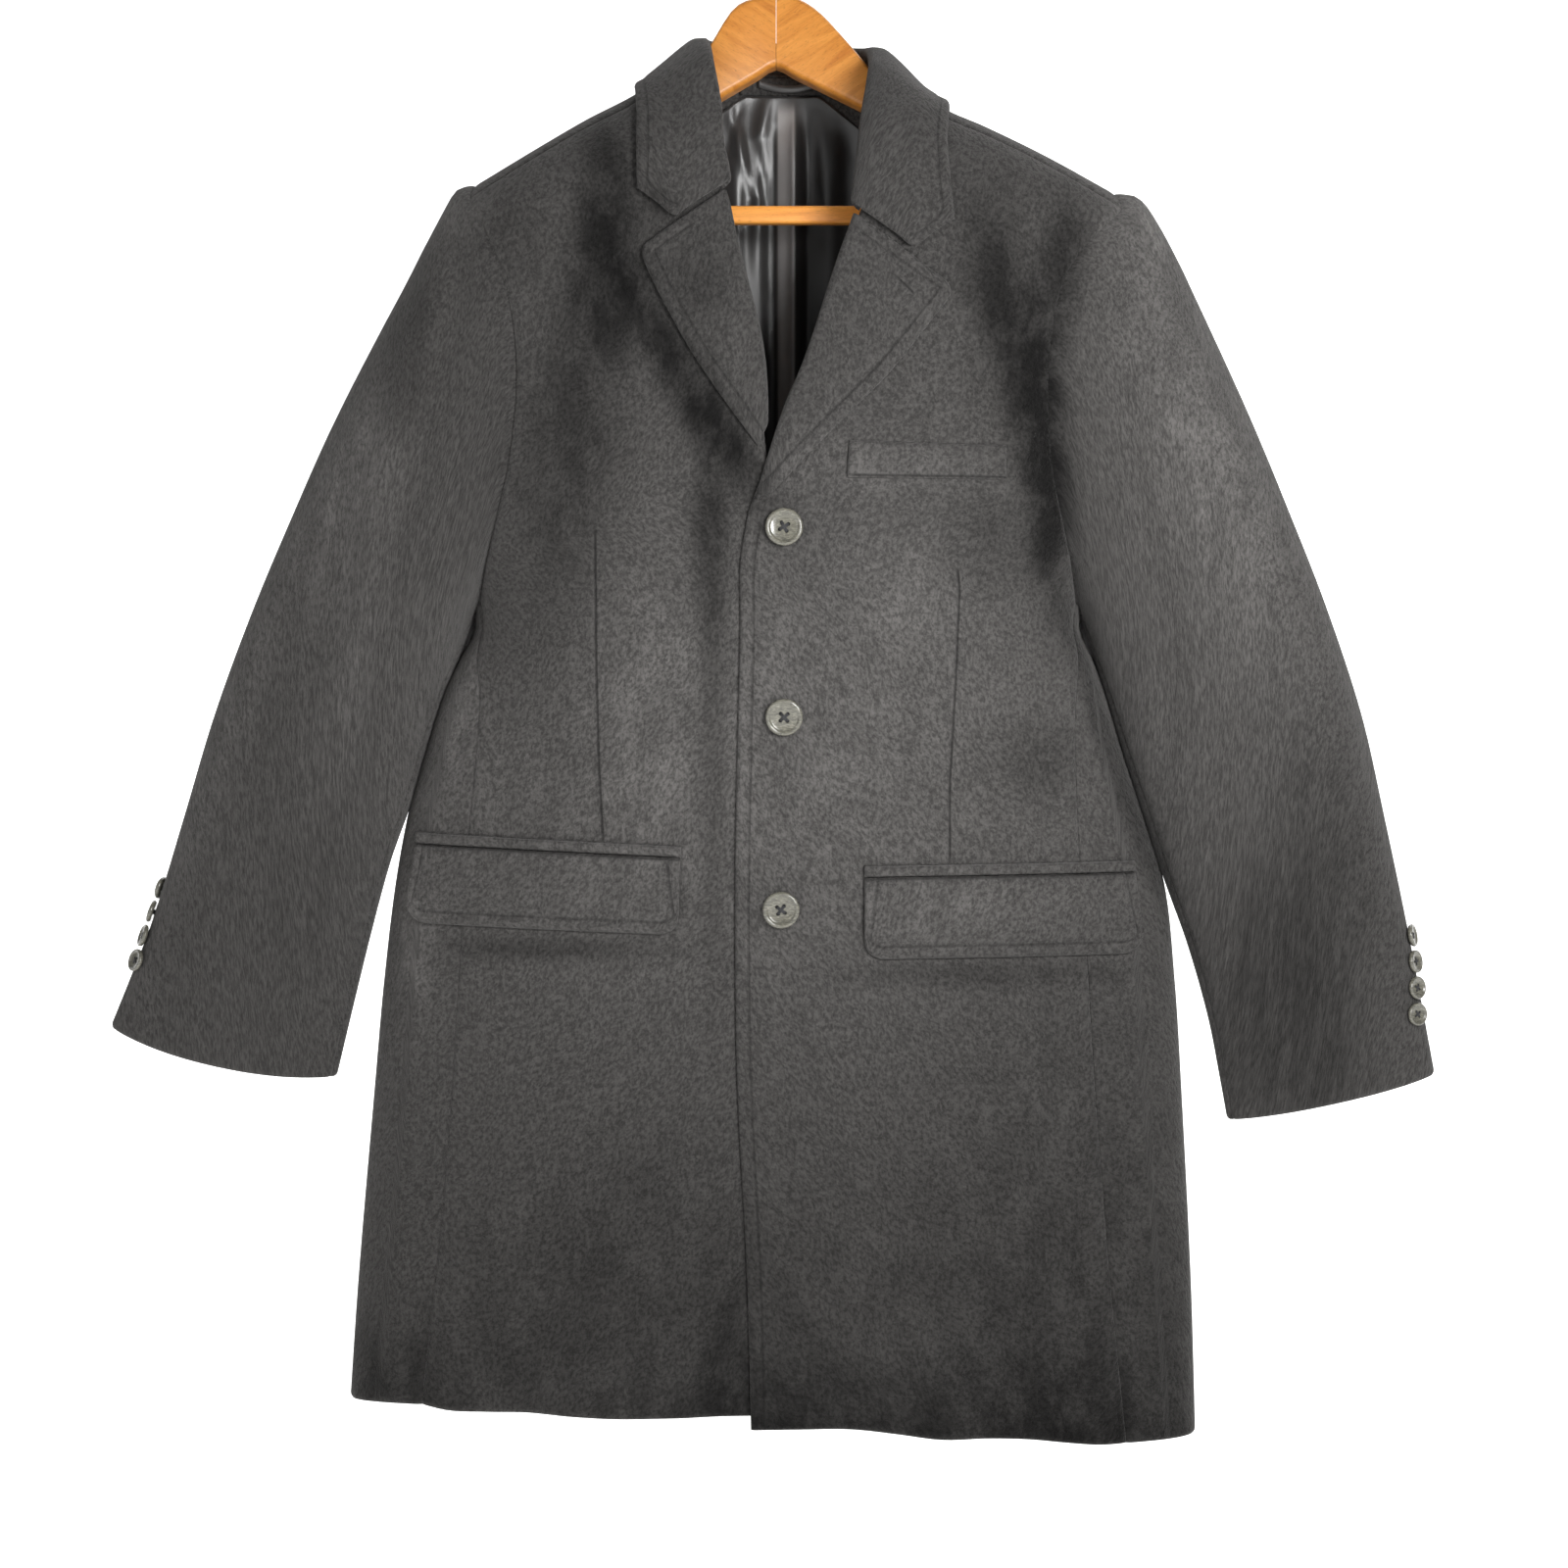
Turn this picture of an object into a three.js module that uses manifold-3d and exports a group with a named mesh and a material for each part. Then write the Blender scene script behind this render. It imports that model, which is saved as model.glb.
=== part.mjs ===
// Single-breasted wool overcoat on a wooden hanger, in millimetres, +Z up.
// The front faces -Y and the wearer's left is +X. The origin is the inner top of the hook.

import * as THREE from 'three';
import Module from 'manifold-3d';
import { mergeVertices } from 'three/addons/utils/BufferGeometryUtils.js';

const wasm = await Module();
wasm.setup();

// Cloth and seams
const clothWall = 2.5;
const doubledWall = 4;
const liningWall = 1;
const seamGap = 0.3;
const underarmClearance = 0.5;
const layGap = 0.7;

// Trims
const frontButton = { diameter: 24.5, thickness: 4, holeRadius: 1.3, holeRing: 3.2 };
const cuffButton = { diameter: 15.5, thickness: 3.2, holeRadius: 0.9, holeRing: 2.1 };
const cuffButtonPitch = 16.6;
const cuffButtonCount = 4;
const flapCornerRadius = 13;
const jetHeight = 8;

// Hanger
const armThickness = 18;
const armChamfer = 4;
const bar = { height: 12, depth: 10, y: -18, top: -210.9 };
const hookWire = 3.8;
const hookInnerRadius = 18;
const hookTurn = { from: 200, to: -55, step: 15 };
const hookNeck = { x: 2.2, drop: 3, length: 10 };

// Roundness of the hung body: how square each level is, and how deep the shoulders round over
const roundness = 2.4;
const shoulderRound = 62;
const shoulderTurns = [-39.4, -27, -13, 0, 18, 38, 58, 80];
const midDepth = -6;
const underarmZ = 494;
const shoulderLean = { forward: 24, halfWidth: 215, top: -220, bottom: -520 };

// Levels of the body: side outlines, and depth in front of and behind the middle
const bodyLevels = [
  { z: -60, minX: -290, maxX: 298, front: 46, back: 44 },
  { z: -150, minX: -283, maxX: 291, front: 52, back: 48 },
  { z: -196, minX: -268, maxX: 276, front: 62, back: 54 },
  { z: -270, minX: -248, maxX: 257, front: 71, back: 60 },
  { z: -367, minX: -228, maxX: 232, front: 79, back: 62 },
  { z: -440, minX: -213, maxX: 215, front: 80, back: 60 },
  { z: -494, minX: -204, maxX: 206, front: 77, back: 57 },
  { z: -520, minX: -216, maxX: 216, front: 74, back: 54 },
  { z: -542, minX: -225.8, maxX: 224, front: 71, back: 52 },
  { z: -575, minX: -236.3, maxX: 234, front: 66, back: 49 },
  { z: -613, minX: -248, maxX: 246.8, front: 61, back: 46 },
  { z: -668, minX: -258.6, maxX: 263.8, front: 56, back: 45 },
  { z: -735, minX: -266.7, maxX: 271.2, front: 53, back: 46 },
  { z: -802, minX: -272.7, maxX: 275.4, front: 51, back: 47 },
  { z: -936, minX: -284.1, maxX: 282.1, front: 50, back: 49 },
  { z: -1046, minX: -291.4, maxX: 285.4, front: 50, back: 50 },
];

// The line over the shoulders and across the neck
const shoulderLine = [
  { x: -290, z: -257 },
  { x: -205, z: -203.5 },
  { x: -130, z: -155 },
  { x: -95, z: -135.5 },
  { x: -62, z: -112.5 },
  { x: 8, z: -78 },
  { x: 78, z: -124 },
  { x: 114, z: -146.2 },
  { x: 140, z: -158.5 },
  { x: 180, z: -180 },
  { x: 234, z: -212.5 },
  { x: 300, z: -250.5 },
];

// Folds of the hanging cloth: depth grows from the top height to the bottom height
const skirtFolds = [
  { face: -1, x: -165, width: 34, top: -700, bottom: -1040, depth: 4 },
  { face: -1, x: -95, width: 26, top: -820, bottom: -1040, depth: -3 },
  { face: -1, x: 105, width: 30, top: -760, bottom: -1040, depth: 3 },
  { face: -1, x: 180, width: 34, top: -700, bottom: -1040, depth: -3 },
  { face: 1, x: -170, width: 40, top: -560, bottom: -1040, depth: 5 },
  { face: 1, x: -70, width: 36, top: -640, bottom: -1040, depth: -4 },
  { face: 1, x: 85, width: 34, top: -600, bottom: -1040, depth: 4 },
  { face: 1, x: 175, width: 40, top: -560, bottom: -1040, depth: -4 },
];

// The two sides of the coat. Armhole rows run from the shoulder to the underarm, and meetZ
// is the height on the front edge, or on the centre back, that the same row meets.
const rightSide = {
  name: 'right',
  sign: -1,
  neckStations: [10, 9, 8, 7, 6, 5],
  tipX: -203,
  backTipX: -192,
  frontArmhole: [
    { x: -199, z: -226, meetZ: -140 },
    { x: -190.5, z: -240, meetZ: -156 },
    { x: -181, z: -262, meetZ: -180 },
    { x: -173, z: -292, meetZ: -208 },
    { x: -169.3, z: -325, meetZ: -244 },
    { x: -170.5, z: -356, meetZ: -279 },
    { x: -176, z: -393, meetZ: -317 },
    { x: -185, z: -429, meetZ: -357 },
    { x: -193, z: -456, meetZ: -392 },
    { x: -199, z: -478, meetZ: -420 },
  ],
  backArmhole: [
    { x: -185, z: -276, meetZ: -184 },
    { x: -179.5, z: -308, meetZ: -220 },
    { x: -178, z: -342, meetZ: -262 },
    { x: -179.5, z: -388, meetZ: -318 },
    { x: -183, z: -425, meetZ: -372 },
    { x: -188, z: -454, meetZ: -404 },
    { x: -192, z: -476, meetZ: -432 },
  ],
  frontEdge: [
    { z: -124, x: -60.5 },
    { z: -140, x: -53.5 },
    { z: -160, x: -46.5 },
    { z: -185, x: -39 },
    { z: -208, x: -33 },
    { z: -224, x: -28 },
    { z: -254, x: -22.8 },
    { z: -292, x: -12.5 },
    { z: -329, x: -5.5 },
    { z: -360, x: -4.5 },
    { z: -388, x: -4 },
    { z: -410, x: 6 },
    { z: -438, x: 21 },
    { z: -480, x: 29 },
    { z: -560, x: 30 },
    { z: -800, x: 30 },
    { z: -924, x: 32 },
    { z: -1022, x: 35 },
  ],
  frontSeam: [
    { z: -478, x: -199 },
    { z: -500, x: -200 },
    { z: -520, x: -198 },
    { z: -540, x: -197.2 },
    { z: -562, x: -197.8 },
    { z: -596, x: -200.5 },
    { z: -640, x: -205 },
    { z: -699, x: -210 },
    { z: -791, x: -215.5 },
    { z: -893, x: -223.5 },
    { z: -939, x: -228.8 },
    { z: -1016, x: -237 },
  ],
  backSeam: [
    { z: -476, x: -192 },
    { z: -540, x: -184 },
    { z: -640, x: -186 },
    { z: -791, x: -196 },
    { z: -1020, x: -214 },
  ],
  frontHem: [
    { x: -292, z: -1013 },
    { x: -264, z: -1016.5 },
    { x: -237, z: -1016.3 },
    { x: -212, z: -1019.6 },
    { x: -170, z: -1017.6 },
    { x: -107, z: -1023 },
    { x: -22, z: -1019.5 },
    { x: 36, z: -1021 },
  ],
};

const leftSide = {
  name: 'left',
  sign: 1,
  neckStations: [10, 11, 12, 13, 14, 15],
  tipX: 229,
  backTipX: 213,
  frontArmhole: [
    { x: 219.5, z: -233, meetZ: -150 },
    { x: 206.5, z: -245, meetZ: -165 },
    { x: 192, z: -265, meetZ: -188 },
    { x: 182.8, z: -292, meetZ: -214 },
    { x: 179, z: -326, meetZ: -247 },
    { x: 179.7, z: -360, meetZ: -281 },
    { x: 183.5, z: -397, meetZ: -320 },
    { x: 191, z: -430, meetZ: -356 },
    { x: 197.5, z: -456, meetZ: -388 },
    { x: 202, z: -480, meetZ: -424 },
  ],
  backArmhole: [
    { x: 201, z: -278, meetZ: -184 },
    { x: 193, z: -309, meetZ: -220 },
    { x: 189.5, z: -343, meetZ: -262 },
    { x: 189.5, z: -389, meetZ: -318 },
    { x: 191.5, z: -426, meetZ: -372 },
    { x: 194.5, z: -455, meetZ: -404 },
    { x: 197, z: -479, meetZ: -432 },
  ],
  frontEdge: [
    { z: -136, x: 77.5 },
    { z: -150, x: 73 },
    { z: -170, x: 67 },
    { z: -195, x: 60.5 },
    { z: -225, x: 51.5 },
    { z: -245, x: 43.8 },
    { z: -265, x: 37.3 },
    { z: -290, x: 29.6 },
    { z: -323, x: 18.8 },
    { z: -353, x: 6 },
    { z: -378, x: -2.5 },
    { z: -409, x: -11.8 },
    { z: -427, x: -18.7 },
    { z: -446, x: -22.5 },
    { z: -504, x: -23.2 },
    { z: -562, x: -24.7 },
    { z: -666, x: -26.8 },
    { z: -795, x: -25.6 },
    { z: -924, x: -19.2 },
    { z: -1029, x: -16.5 },
  ],
  frontSeam: [
    { z: -480, x: 202 },
    { z: -504, x: 202.5 },
    { z: -521, x: 200.8 },
    { z: -541, x: 199.2 },
    { z: -567, x: 198.4 },
    { z: -592, x: 198.7 },
    { z: -643, x: 201.4 },
    { z: -721, x: 207.5 },
    { z: -806, x: 213 },
    { z: -882, x: 219.1 },
    { z: -924, x: 222.4 },
    { z: -1042, x: 234.5 },
  ],
  backSeam: [
    { z: -479, x: 197 },
    { z: -540, x: 188 },
    { z: -640, x: 188 },
    { z: -791, x: 197 },
    { z: -1040, x: 212 },
  ],
  frontHem: [
    { x: -18, z: -1028.3 },
    { x: 31, z: -1027.7 },
    { x: 66, z: -1028.5 },
    { x: 95, z: -1034.6 },
    { x: 153, z: -1036.2 },
    { x: 206, z: -1041.7 },
    { x: 259, z: -1043.8 },
    { x: 286, z: -1038 },
  ],
};

const centreBack = [
  { z: -107, x: 8 },
  { z: -500, x: 3 },
  { z: -1026, x: -2 },
];
const backHem = [
  { x: -292, z: -1013 },
  { x: -200, z: -1020 },
  { x: -100, z: -1018 },
  { x: 0, z: -1026 },
  { x: 90, z: -1030 },
  { x: 180, z: -1038 },
  { x: 286, z: -1038 },
];

// The wearer's left front lies on the right one, lifted clear of it near its edge
const overlap = { lift: 3.6, insideX: 42, outsideX: 92, top: -300, bottom: -375 };

// Sleeves, ring by ring from the armhole to the cuff: outer and inner outline, and how far
// the rings bow toward the body and sag along the sleeve
const rightSleeve = [
  { outX: -207, outZ: -203, inX: -204.8, inZ: -494, bow: 37, sag: 0 },
  { outX: -218, outZ: -206, inX: -207.4, inZ: -497.5, bow: 33, sag: 0 },
  { outX: -233, outZ: -234, inX: -210.4, inZ: -505, bow: 26, sag: 0 },
  { outX: -267, outZ: -297, inX: -215.6, inZ: -520, bow: 16, sag: 0 },
  { outX: -297, outZ: -356, inX: -224.8, inZ: -542, bow: 8, sag: 0 },
  { outX: -324, outZ: -416, inX: -235.2, inZ: -573, bow: 3, sag: 0 },
  { outX: -353.5, outZ: -485.5, inX: -246.9, inZ: -613, bow: 0, sag: 0 },
  { outX: -379, outZ: -555, inX: -261, inZ: -654, bow: 0, sag: 0 },
  { outX: -400, outZ: -624.5, inX: -273, inZ: -699, bow: 0, sag: 1 },
  { outX: -421.5, outZ: -694, inX: -283.5, inZ: -742, bow: 0, sag: 4 },
  { outX: -449.5, outZ: -765, inX: -297, inZ: -799, bow: 0, sag: 9 },
];
const leftSleeve = [
  { outX: 236, outZ: -213, inX: 206.8, inZ: -494, bow: 38, sag: 0 },
  { outX: 249, outZ: -213.5, inX: 209.8, inZ: -499, bow: 35, sag: 0 },
  { outX: 263.6, outZ: -237, inX: 213.6, inZ: -510, bow: 28, sag: 0 },
  { outX: 292.7, outZ: -297, inX: 217.8, inZ: -525, bow: 19, sag: 0 },
  { outX: 320, outZ: -356.4, inX: 224, inZ: -545, bow: 10, sag: 0 },
  { outX: 345, outZ: -416, inX: 233.4, inZ: -576, bow: 4, sag: 0 },
  { outX: 371.5, outZ: -483.5, inX: 246.7, inZ: -617, bow: 0, sag: 0 },
  { outX: 395.3, outZ: -555, inX: 263.2, inZ: -667.6, bow: 0, sag: 0 },
  { outX: 411, outZ: -624.5, inX: 278.4, inZ: -710.6, bow: 0, sag: 0 },
  { outX: 427, outZ: -700.7, inX: 292.3, inZ: -760.3, bow: 0, sag: 1 },
  { outX: 445, outZ: -797, inX: 305, inZ: -828, bow: 0, sag: 3 },
];

// The same rings in depth: the middle at the outer and inner side, and how far they reach from it
const rightSleeveDepth = [
  { outY: -27, inY: -6, front: 50, back: 48 },
  { outY: -27, inY: -7, front: 51, back: 49 },
  { outY: -26, inY: -8, front: 52, back: 50 },
  { outY: -24, inY: -10, front: 51, back: 50 },
  { outY: -22, inY: -12, front: 49, back: 49 },
  { outY: -20, inY: -14, front: 46, back: 46 },
  { outY: -19, inY: -16, front: 42, back: 42 },
  { outY: -19, inY: -18, front: 37, back: 37 },
  { outY: -19, inY: -19, front: 31, back: 31 },
  { outY: -19, inY: -19, front: 25, back: 25 },
  { outY: -19, inY: -19, front: 18, back: 18 },
];
const leftSleeveDepth = [
  { outY: -32, inY: -6, front: 47, back: 46 },
  { outY: -31, inY: -7, front: 48, back: 47 },
  { outY: -29, inY: -8, front: 50, back: 48 },
  { outY: -26, inY: -10, front: 51, back: 49 },
  { outY: -23, inY: -12, front: 49, back: 49 },
  { outY: -21, inY: -14, front: 46, back: 46 },
  { outY: -20, inY: -16, front: 42, back: 42 },
  { outY: -19, inY: -18, front: 37, back: 37 },
  { outY: -19, inY: -19, front: 31, back: 31 },
  { outY: -19, inY: -19, front: 25, back: 25 },
  { outY: -19, inY: -19, front: 18, back: 18 },
];
const joinRows = (first, second) => first.map((row, i) => ({ ...row, ...second[i], i }));
const sleeveTables = {
  right: joinRows(rightSleeve, rightSleeveDepth),
  left: joinRows(leftSleeve, leftSleeveDepth),
};
const sleeveRoundness = 2.2;
const sleeveSettle = 3.2;
const hindarmSeam = -14;
const forearmSeam = 168;

// Soft ridges pressed into the sleeves: along the sleeve from 0 at the armhole to 1 at the cuff
const sleeveFolds = {
  right: [
    { from: 0.02, to: 0.5, startAngle: 28, endAngle: 118, width: 13, depth: 5 },
    { from: 0.3, to: 0.8, startAngle: 60, endAngle: 80, width: 20, depth: -3 },
    { from: 0.05, to: 0.6, startAngle: 300, endAngle: 230, width: 20, depth: 4 },
  ],
  left: [
    { from: 0.02, to: 0.45, startAngle: 40, endAngle: 105, width: 18, depth: 3.5 },
    { from: 0.3, to: 0.85, startAngle: 70, endAngle: 95, width: 22, depth: -3 },
    { from: 0.05, to: 0.6, startAngle: 300, endAngle: 235, width: 20, depth: 4 },
  ],
};

// Collar, from the notch on the right front round the neck to the notch on the left front.
// neckX and neckDrop place the neck seam: drop below the shoulder line, negative in front.
const collarRoll = [
  { rollX: -32.5, rollY: -75, rollZ: -208.5, neckX: -33, neckDrop: -112 },
  { rollX: -34, rollY: -73, rollZ: -196, neckX: -36, neckDrop: -97 },
  { rollX: -36.5, rollY: -69, rollZ: -178, neckX: -41, neckDrop: -76 },
  { rollX: -40, rollY: -61, rollZ: -153, neckX: -48, neckDrop: -48 },
  { rollX: -44, rollY: -47, rollZ: -125, neckX: -55, neckDrop: -26 },
  { rollX: -48, rollY: -28, rollZ: -104, neckX: -60, neckDrop: -12 },
  { rollX: -49, rollY: -8, rollZ: -94, neckX: -62, neckDrop: -2 },
  { rollX: -46, rollY: 11, rollZ: -90, neckX: -58, neckDrop: 6 },
  { rollX: -33, rollY: 28, rollZ: -87, neckX: -43, neckDrop: 13 },
  { rollX: -14, rollY: 39, rollZ: -85, neckX: -20, neckDrop: 21 },
  { rollX: 8, rollY: 43, rollZ: -84, neckX: 8, neckDrop: 29 },
  { rollX: 30, rollY: 39, rollZ: -86, neckX: 35, neckDrop: 21 },
  { rollX: 50, rollY: 28, rollZ: -90, neckX: 60, neckDrop: 13 },
  { rollX: 62, rollY: 11, rollZ: -95, neckX: 74, neckDrop: 6 },
  { rollX: 66, rollY: -8, rollZ: -100, neckX: 78.5, neckDrop: -2 },
  { rollX: 66, rollY: -28, rollZ: -111, neckX: 77, neckDrop: -12 },
  { rollX: 64.5, rollY: -45, rollZ: -128, neckX: 73, neckDrop: -26 },
  { rollX: 60.5, rollY: -60, rollZ: -158, neckX: 66.5, neckDrop: -48 },
  { rollX: 57.5, rollY: -68, rollZ: -182, neckX: 62, neckDrop: -78 },
  { rollX: 55, rollY: -73, rollZ: -205, neckX: 56, neckDrop: -104 },
  { rollX: 52, rollY: -77, rollZ: -223.5, neckX: 51, neckDrop: -125 },
];

// The leaf's outer edge at the same stations, and how far the leaf dips between roll and edge
const collarEdge = [
  { edgeX: -90.5, edgeY: -79, edgeZ: -212, dip: 20 },
  { edgeX: -91, edgeY: -77, edgeZ: -194, dip: 8 },
  { edgeX: -91.5, edgeY: -72, edgeZ: -176, dip: 1 },
  { edgeX: -92, edgeY: -62, edgeZ: -158, dip: 0 },
  { edgeX: -93, edgeY: -46, edgeZ: -143, dip: 0 },
  { edgeX: -94, edgeY: -26, edgeZ: -134, dip: 0 },
  { edgeX: -95, edgeY: -6, edgeZ: -129, dip: 0 },
  { edgeX: -93, edgeY: 17, edgeZ: -132, dip: 0 },
  { edgeX: -76, edgeY: 38, edgeZ: -136, dip: 0 },
  { edgeX: -40, edgeY: 48, edgeZ: -140, dip: 0 },
  { edgeX: 8, edgeY: 51, edgeZ: -143, dip: 0 },
  { edgeX: 58, edgeY: 48, edgeZ: -143, dip: 0 },
  { edgeX: 94, edgeY: 38, edgeZ: -143, dip: 0 },
  { edgeX: 112, edgeY: 17, edgeZ: -143, dip: 0 },
  { edgeX: 114.5, edgeY: -6, edgeZ: -142, dip: 0 },
  { edgeX: 114, edgeY: -26, edgeZ: -148, dip: 0 },
  { edgeX: 113, edgeY: -46, edgeZ: -160, dip: 0 },
  { edgeX: 112.5, edgeY: -66, edgeZ: -178, dip: 0 },
  { edgeX: 113.5, edgeY: -74, edgeZ: -197, dip: 1 },
  { edgeX: 115, edgeY: -80, edgeZ: -216, dip: 8 },
  { edgeX: 116.5, edgeY: -83, edgeZ: -233, dip: 22 },
];
const collarStations = joinRows(collarRoll, collarEdge);
const fullDip = 20;
const collarNotch = 0.58;
const collarPuff = 5;
const collarClearance = 1.8;
const standClearance = 0.5;
const standStations = { first: 3, last: 17 };

// Lapels, from the gorge seam to the break of the roll line
const rightLapel = [
  { rollX: -32.3, rollZ: -212, edgeX: -86.5, edgeZ: -250 },
  { rollX: -29.5, rollZ: -222, edgeX: -86.5, edgeZ: -259 },
  { rollX: -24.5, rollZ: -246, edgeX: -77.5, edgeZ: -279 },
  { rollX: -18.5, rollZ: -270, edgeX: -67, edgeZ: -299 },
  { rollX: -12.2, rollZ: -294, edgeX: -55.5, edgeZ: -319.5 },
  { rollX: -7.2, rollZ: -320, edgeX: -40, edgeZ: -343 },
  { rollX: -5, rollZ: -346, edgeX: -23.5, edgeZ: -366 },
  { rollX: -4.8, rollZ: -366, edgeX: -11.5, edgeZ: -382 },
];
const leftLapel = [
  { rollX: 50.5, rollZ: -228, edgeX: 112.5, edgeZ: -275.5 },
  { rollX: 47, rollZ: -238, edgeX: 113.5, edgeZ: -284 },
  { rollX: 40.5, rollZ: -256, edgeX: 102, edgeZ: -299 },
  { rollX: 33, rollZ: -279, edgeX: 88, edgeZ: -317 },
  { rollX: 25.5, rollZ: -303, edgeX: 72, edgeZ: -336.5 },
  { rollX: 16.5, rollZ: -329, edgeX: 52.5, edgeZ: -356.5 },
  { rollX: 6, rollZ: -354, edgeX: 33, edgeZ: -376 },
  { rollX: -2.4, rollZ: -379, edgeX: 13, edgeZ: -396.5 },
  { rollX: -9, rollZ: -401, edgeX: -2, edgeZ: -412 },
  { rollX: -13.6, rollZ: -414, edgeX: -11.5, edgeZ: -418 },
];

// Pockets: corners of what lies on the panels, seen from the front
const flaps = {
  right: { topX: [-240.5, -62.5], topZ: [-641.5, -650], bottomX: [-246.5, -63.5], bottomZ: [-694, -701] },
  left: { topX: [58, 239.5], topZ: [-663, -660.5], bottomX: [58, 244.5], bottomZ: [-717, -714.5] },
};
const breastWelt = {
  topX: [47.5, 150],
  topZ: [-378.5, -380.5],
  bottomX: [46, 150],
  bottomZ: [-403, -402.5],
};

const frontButtons = [
  { x: 5.4, z: -435 },
  { x: 5.4, z: -557.5 },
  { x: 3.4, z: -684 },
];
const cuffButtons = {
  right: { first: 0.869, firstAngle: -6, lastAngle: 15 },
  left: { first: 0.903, firstAngle: 10, lastAngle: 29 },
};

// Lining of the back, where it shows between the lapels, and its folds
const liningSpan = { minX: -100, maxX: 118, top: -120.5, bottom: -445, shoulderDrop: 34, gap: 1.2 };
const foldsOpen = { top: -112, bottom: -170 };
const liningFolds = [
  { x: -62, width: 9, depth: 3 },
  { x: -28, width: 7, depth: 5 },
  { x: -12, width: 5, depth: 3 },
  { x: 14, width: 4, depth: 8 },
  { x: 40, width: 9, depth: 4 },
  { x: 72, width: 10, depth: 3 },
];
const facing = { minX: -26, maxX: 44, top: -108.5, bottom: -120, shoulderDrop: 22, wall: 1.5 };
const hangingLoop = { minX: -14, maxX: 30, height: 5, wall: 1.5, top: -109.5, sag: 4 };

// Wooden arms: top and bottom edges from the middle of the hanger outward
const armSections = [
  { x: -194, top: -206, bottom: -224 },
  { x: -185, top: -200.3, bottom: -227 },
  { x: -150, top: -178.5, bottom: -205.5 },
  { x: -95, top: -145, bottom: -171 },
  { x: -78, top: -133, bottom: -160.5 },
  { x: -62, top: -123.5, bottom: -150.5 },
  { x: -54, top: -113, bottom: -145.5 },
  { x: -46, top: -101.5, bottom: -140.7 },
  { x: -29, top: -74, bottom: -130 },
  { x: -13, top: -65.5, bottom: -120 },
  { x: 0, top: -63.5, bottom: -112.2 },
  { x: 13, top: -65.5, bottom: -119 },
  { x: 28, top: -75, bottom: -127 },
  { x: 46.6, top: -95.5, bottom: -137 },
  { x: 64.7, top: -117.5, bottom: -146.5 },
  { x: 78, top: -133, bottom: -153.5 },
  { x: 95, top: -142, bottom: -162.6 },
  { x: 150, top: -175, bottom: -193.7 },
  { x: 185, top: -194.5, bottom: -216 },
  { x: 194, top: -201, bottom: -213 },
];

const materials = {
  wool: new THREE.MeshStandardMaterial({ color: 0x3f3e3e, roughness: 0.95, metalness: 0 }),
  lining: new THREE.MeshStandardMaterial({ color: 0x4a4846, roughness: 0.4, metalness: 0 }),
  wood: new THREE.MeshStandardMaterial({ color: 0xc98a3c, roughness: 0.45, metalness: 0 }),
  horn: new THREE.MeshStandardMaterial({ color: 0x2d2c2c, roughness: 0.25, metalness: 0 }),
  steel: new THREE.MeshStandardMaterial({ color: 0xb9bcc0, roughness: 0.25, metalness: 1 }),
};

const group = new THREE.Group();

function addPart(name, geometry, material) {
  const mesh = new THREE.Mesh(geometry, material);
  mesh.name = name;
  group.add(mesh);
  return mesh;
}

// Tables and blending

function mix(a, b, t) {
  return a + (b - a) * t;
}

function smooth(from, to, value) {
  const t = Math.min(1, Math.max(0, (value - from) / (to - from)));
  return t * t * (3 - 2 * t);
}

// Reads every column of a table at a value of its key column, along a smooth curve
function sample(table, key, value) {
  const last = table.length - 1;
  const direction = Math.sign(table[last][key] - table[0][key]);
  let i = 0;
  while (i < last - 1 && (table[i + 1][key] - value) * direction < 0) {
    i += 1;
  }
  const before = table[Math.max(i - 1, 0)];
  const from = table[i];
  const to = table[i + 1];
  const after = table[Math.min(i + 2, last)];
  const run = to[key] - from[key];
  const t = Math.min(1, Math.max(0, (value - from[key]) / run));
  const row = {};
  for (const column of Object.keys(from)) {
    const leave = ((to[column] - before[column]) / (to[key] - before[key])) * run;
    const arrive = ((after[column] - from[column]) / (after[key] - from[key])) * run;
    const stay = from[column] * (1 + 2 * t) * (1 - t) ** 2 + to[column] * t * t * (3 - 2 * t);
    row[column] = stay + leave * t * (1 - t) ** 2 + arrive * t * t * (t - 1);
  }
  return row;
}

// Body surface

function shoulderHeight(x) {
  return sample(shoulderLine, 'x', x).z;
}

function middleY(x, z) {
  const lean = shoulderLean;
  return midDepth - lean.forward * (x / lean.halfWidth) ** 2 * smooth(lean.bottom, lean.top, z);
}

// Height ratio over the rounded shoulder: 1 on the shoulder line, 0 below the rounding
function shoulderRatio(x, z) {
  return Math.max(0, 1 - (shoulderHeight(x) - z) / shoulderRound);
}

// Zero on the outer face of the body, negative inside it
function bodyField(x, y, z) {
  const level = sample(bodyLevels, 'z', z);
  const across = Math.abs(x - (level.minX + level.maxX) / 2) / ((level.maxX - level.minX) / 2);
  const fromMiddle = y - middleY(x, z);
  const through = Math.abs(fromMiddle) / (fromMiddle < 0 ? level.front : level.back);
  const free = (1 - across ** roundness) * (1 - shoulderRatio(x, z) ** roundness);
  return through ** roundness - free;
}

function bodyNormal(point) {
  const step = 0.2;
  const { x, y, z } = point;
  const normal = new THREE.Vector3(
    bodyField(x + step, y, z) - bodyField(x - step, y, z),
    bodyField(x, y + step, z) - bodyField(x, y - step, z),
    bodyField(x, y, z + step) - bodyField(x, y, z - step),
  );
  return normal.normalize();
}

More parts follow.
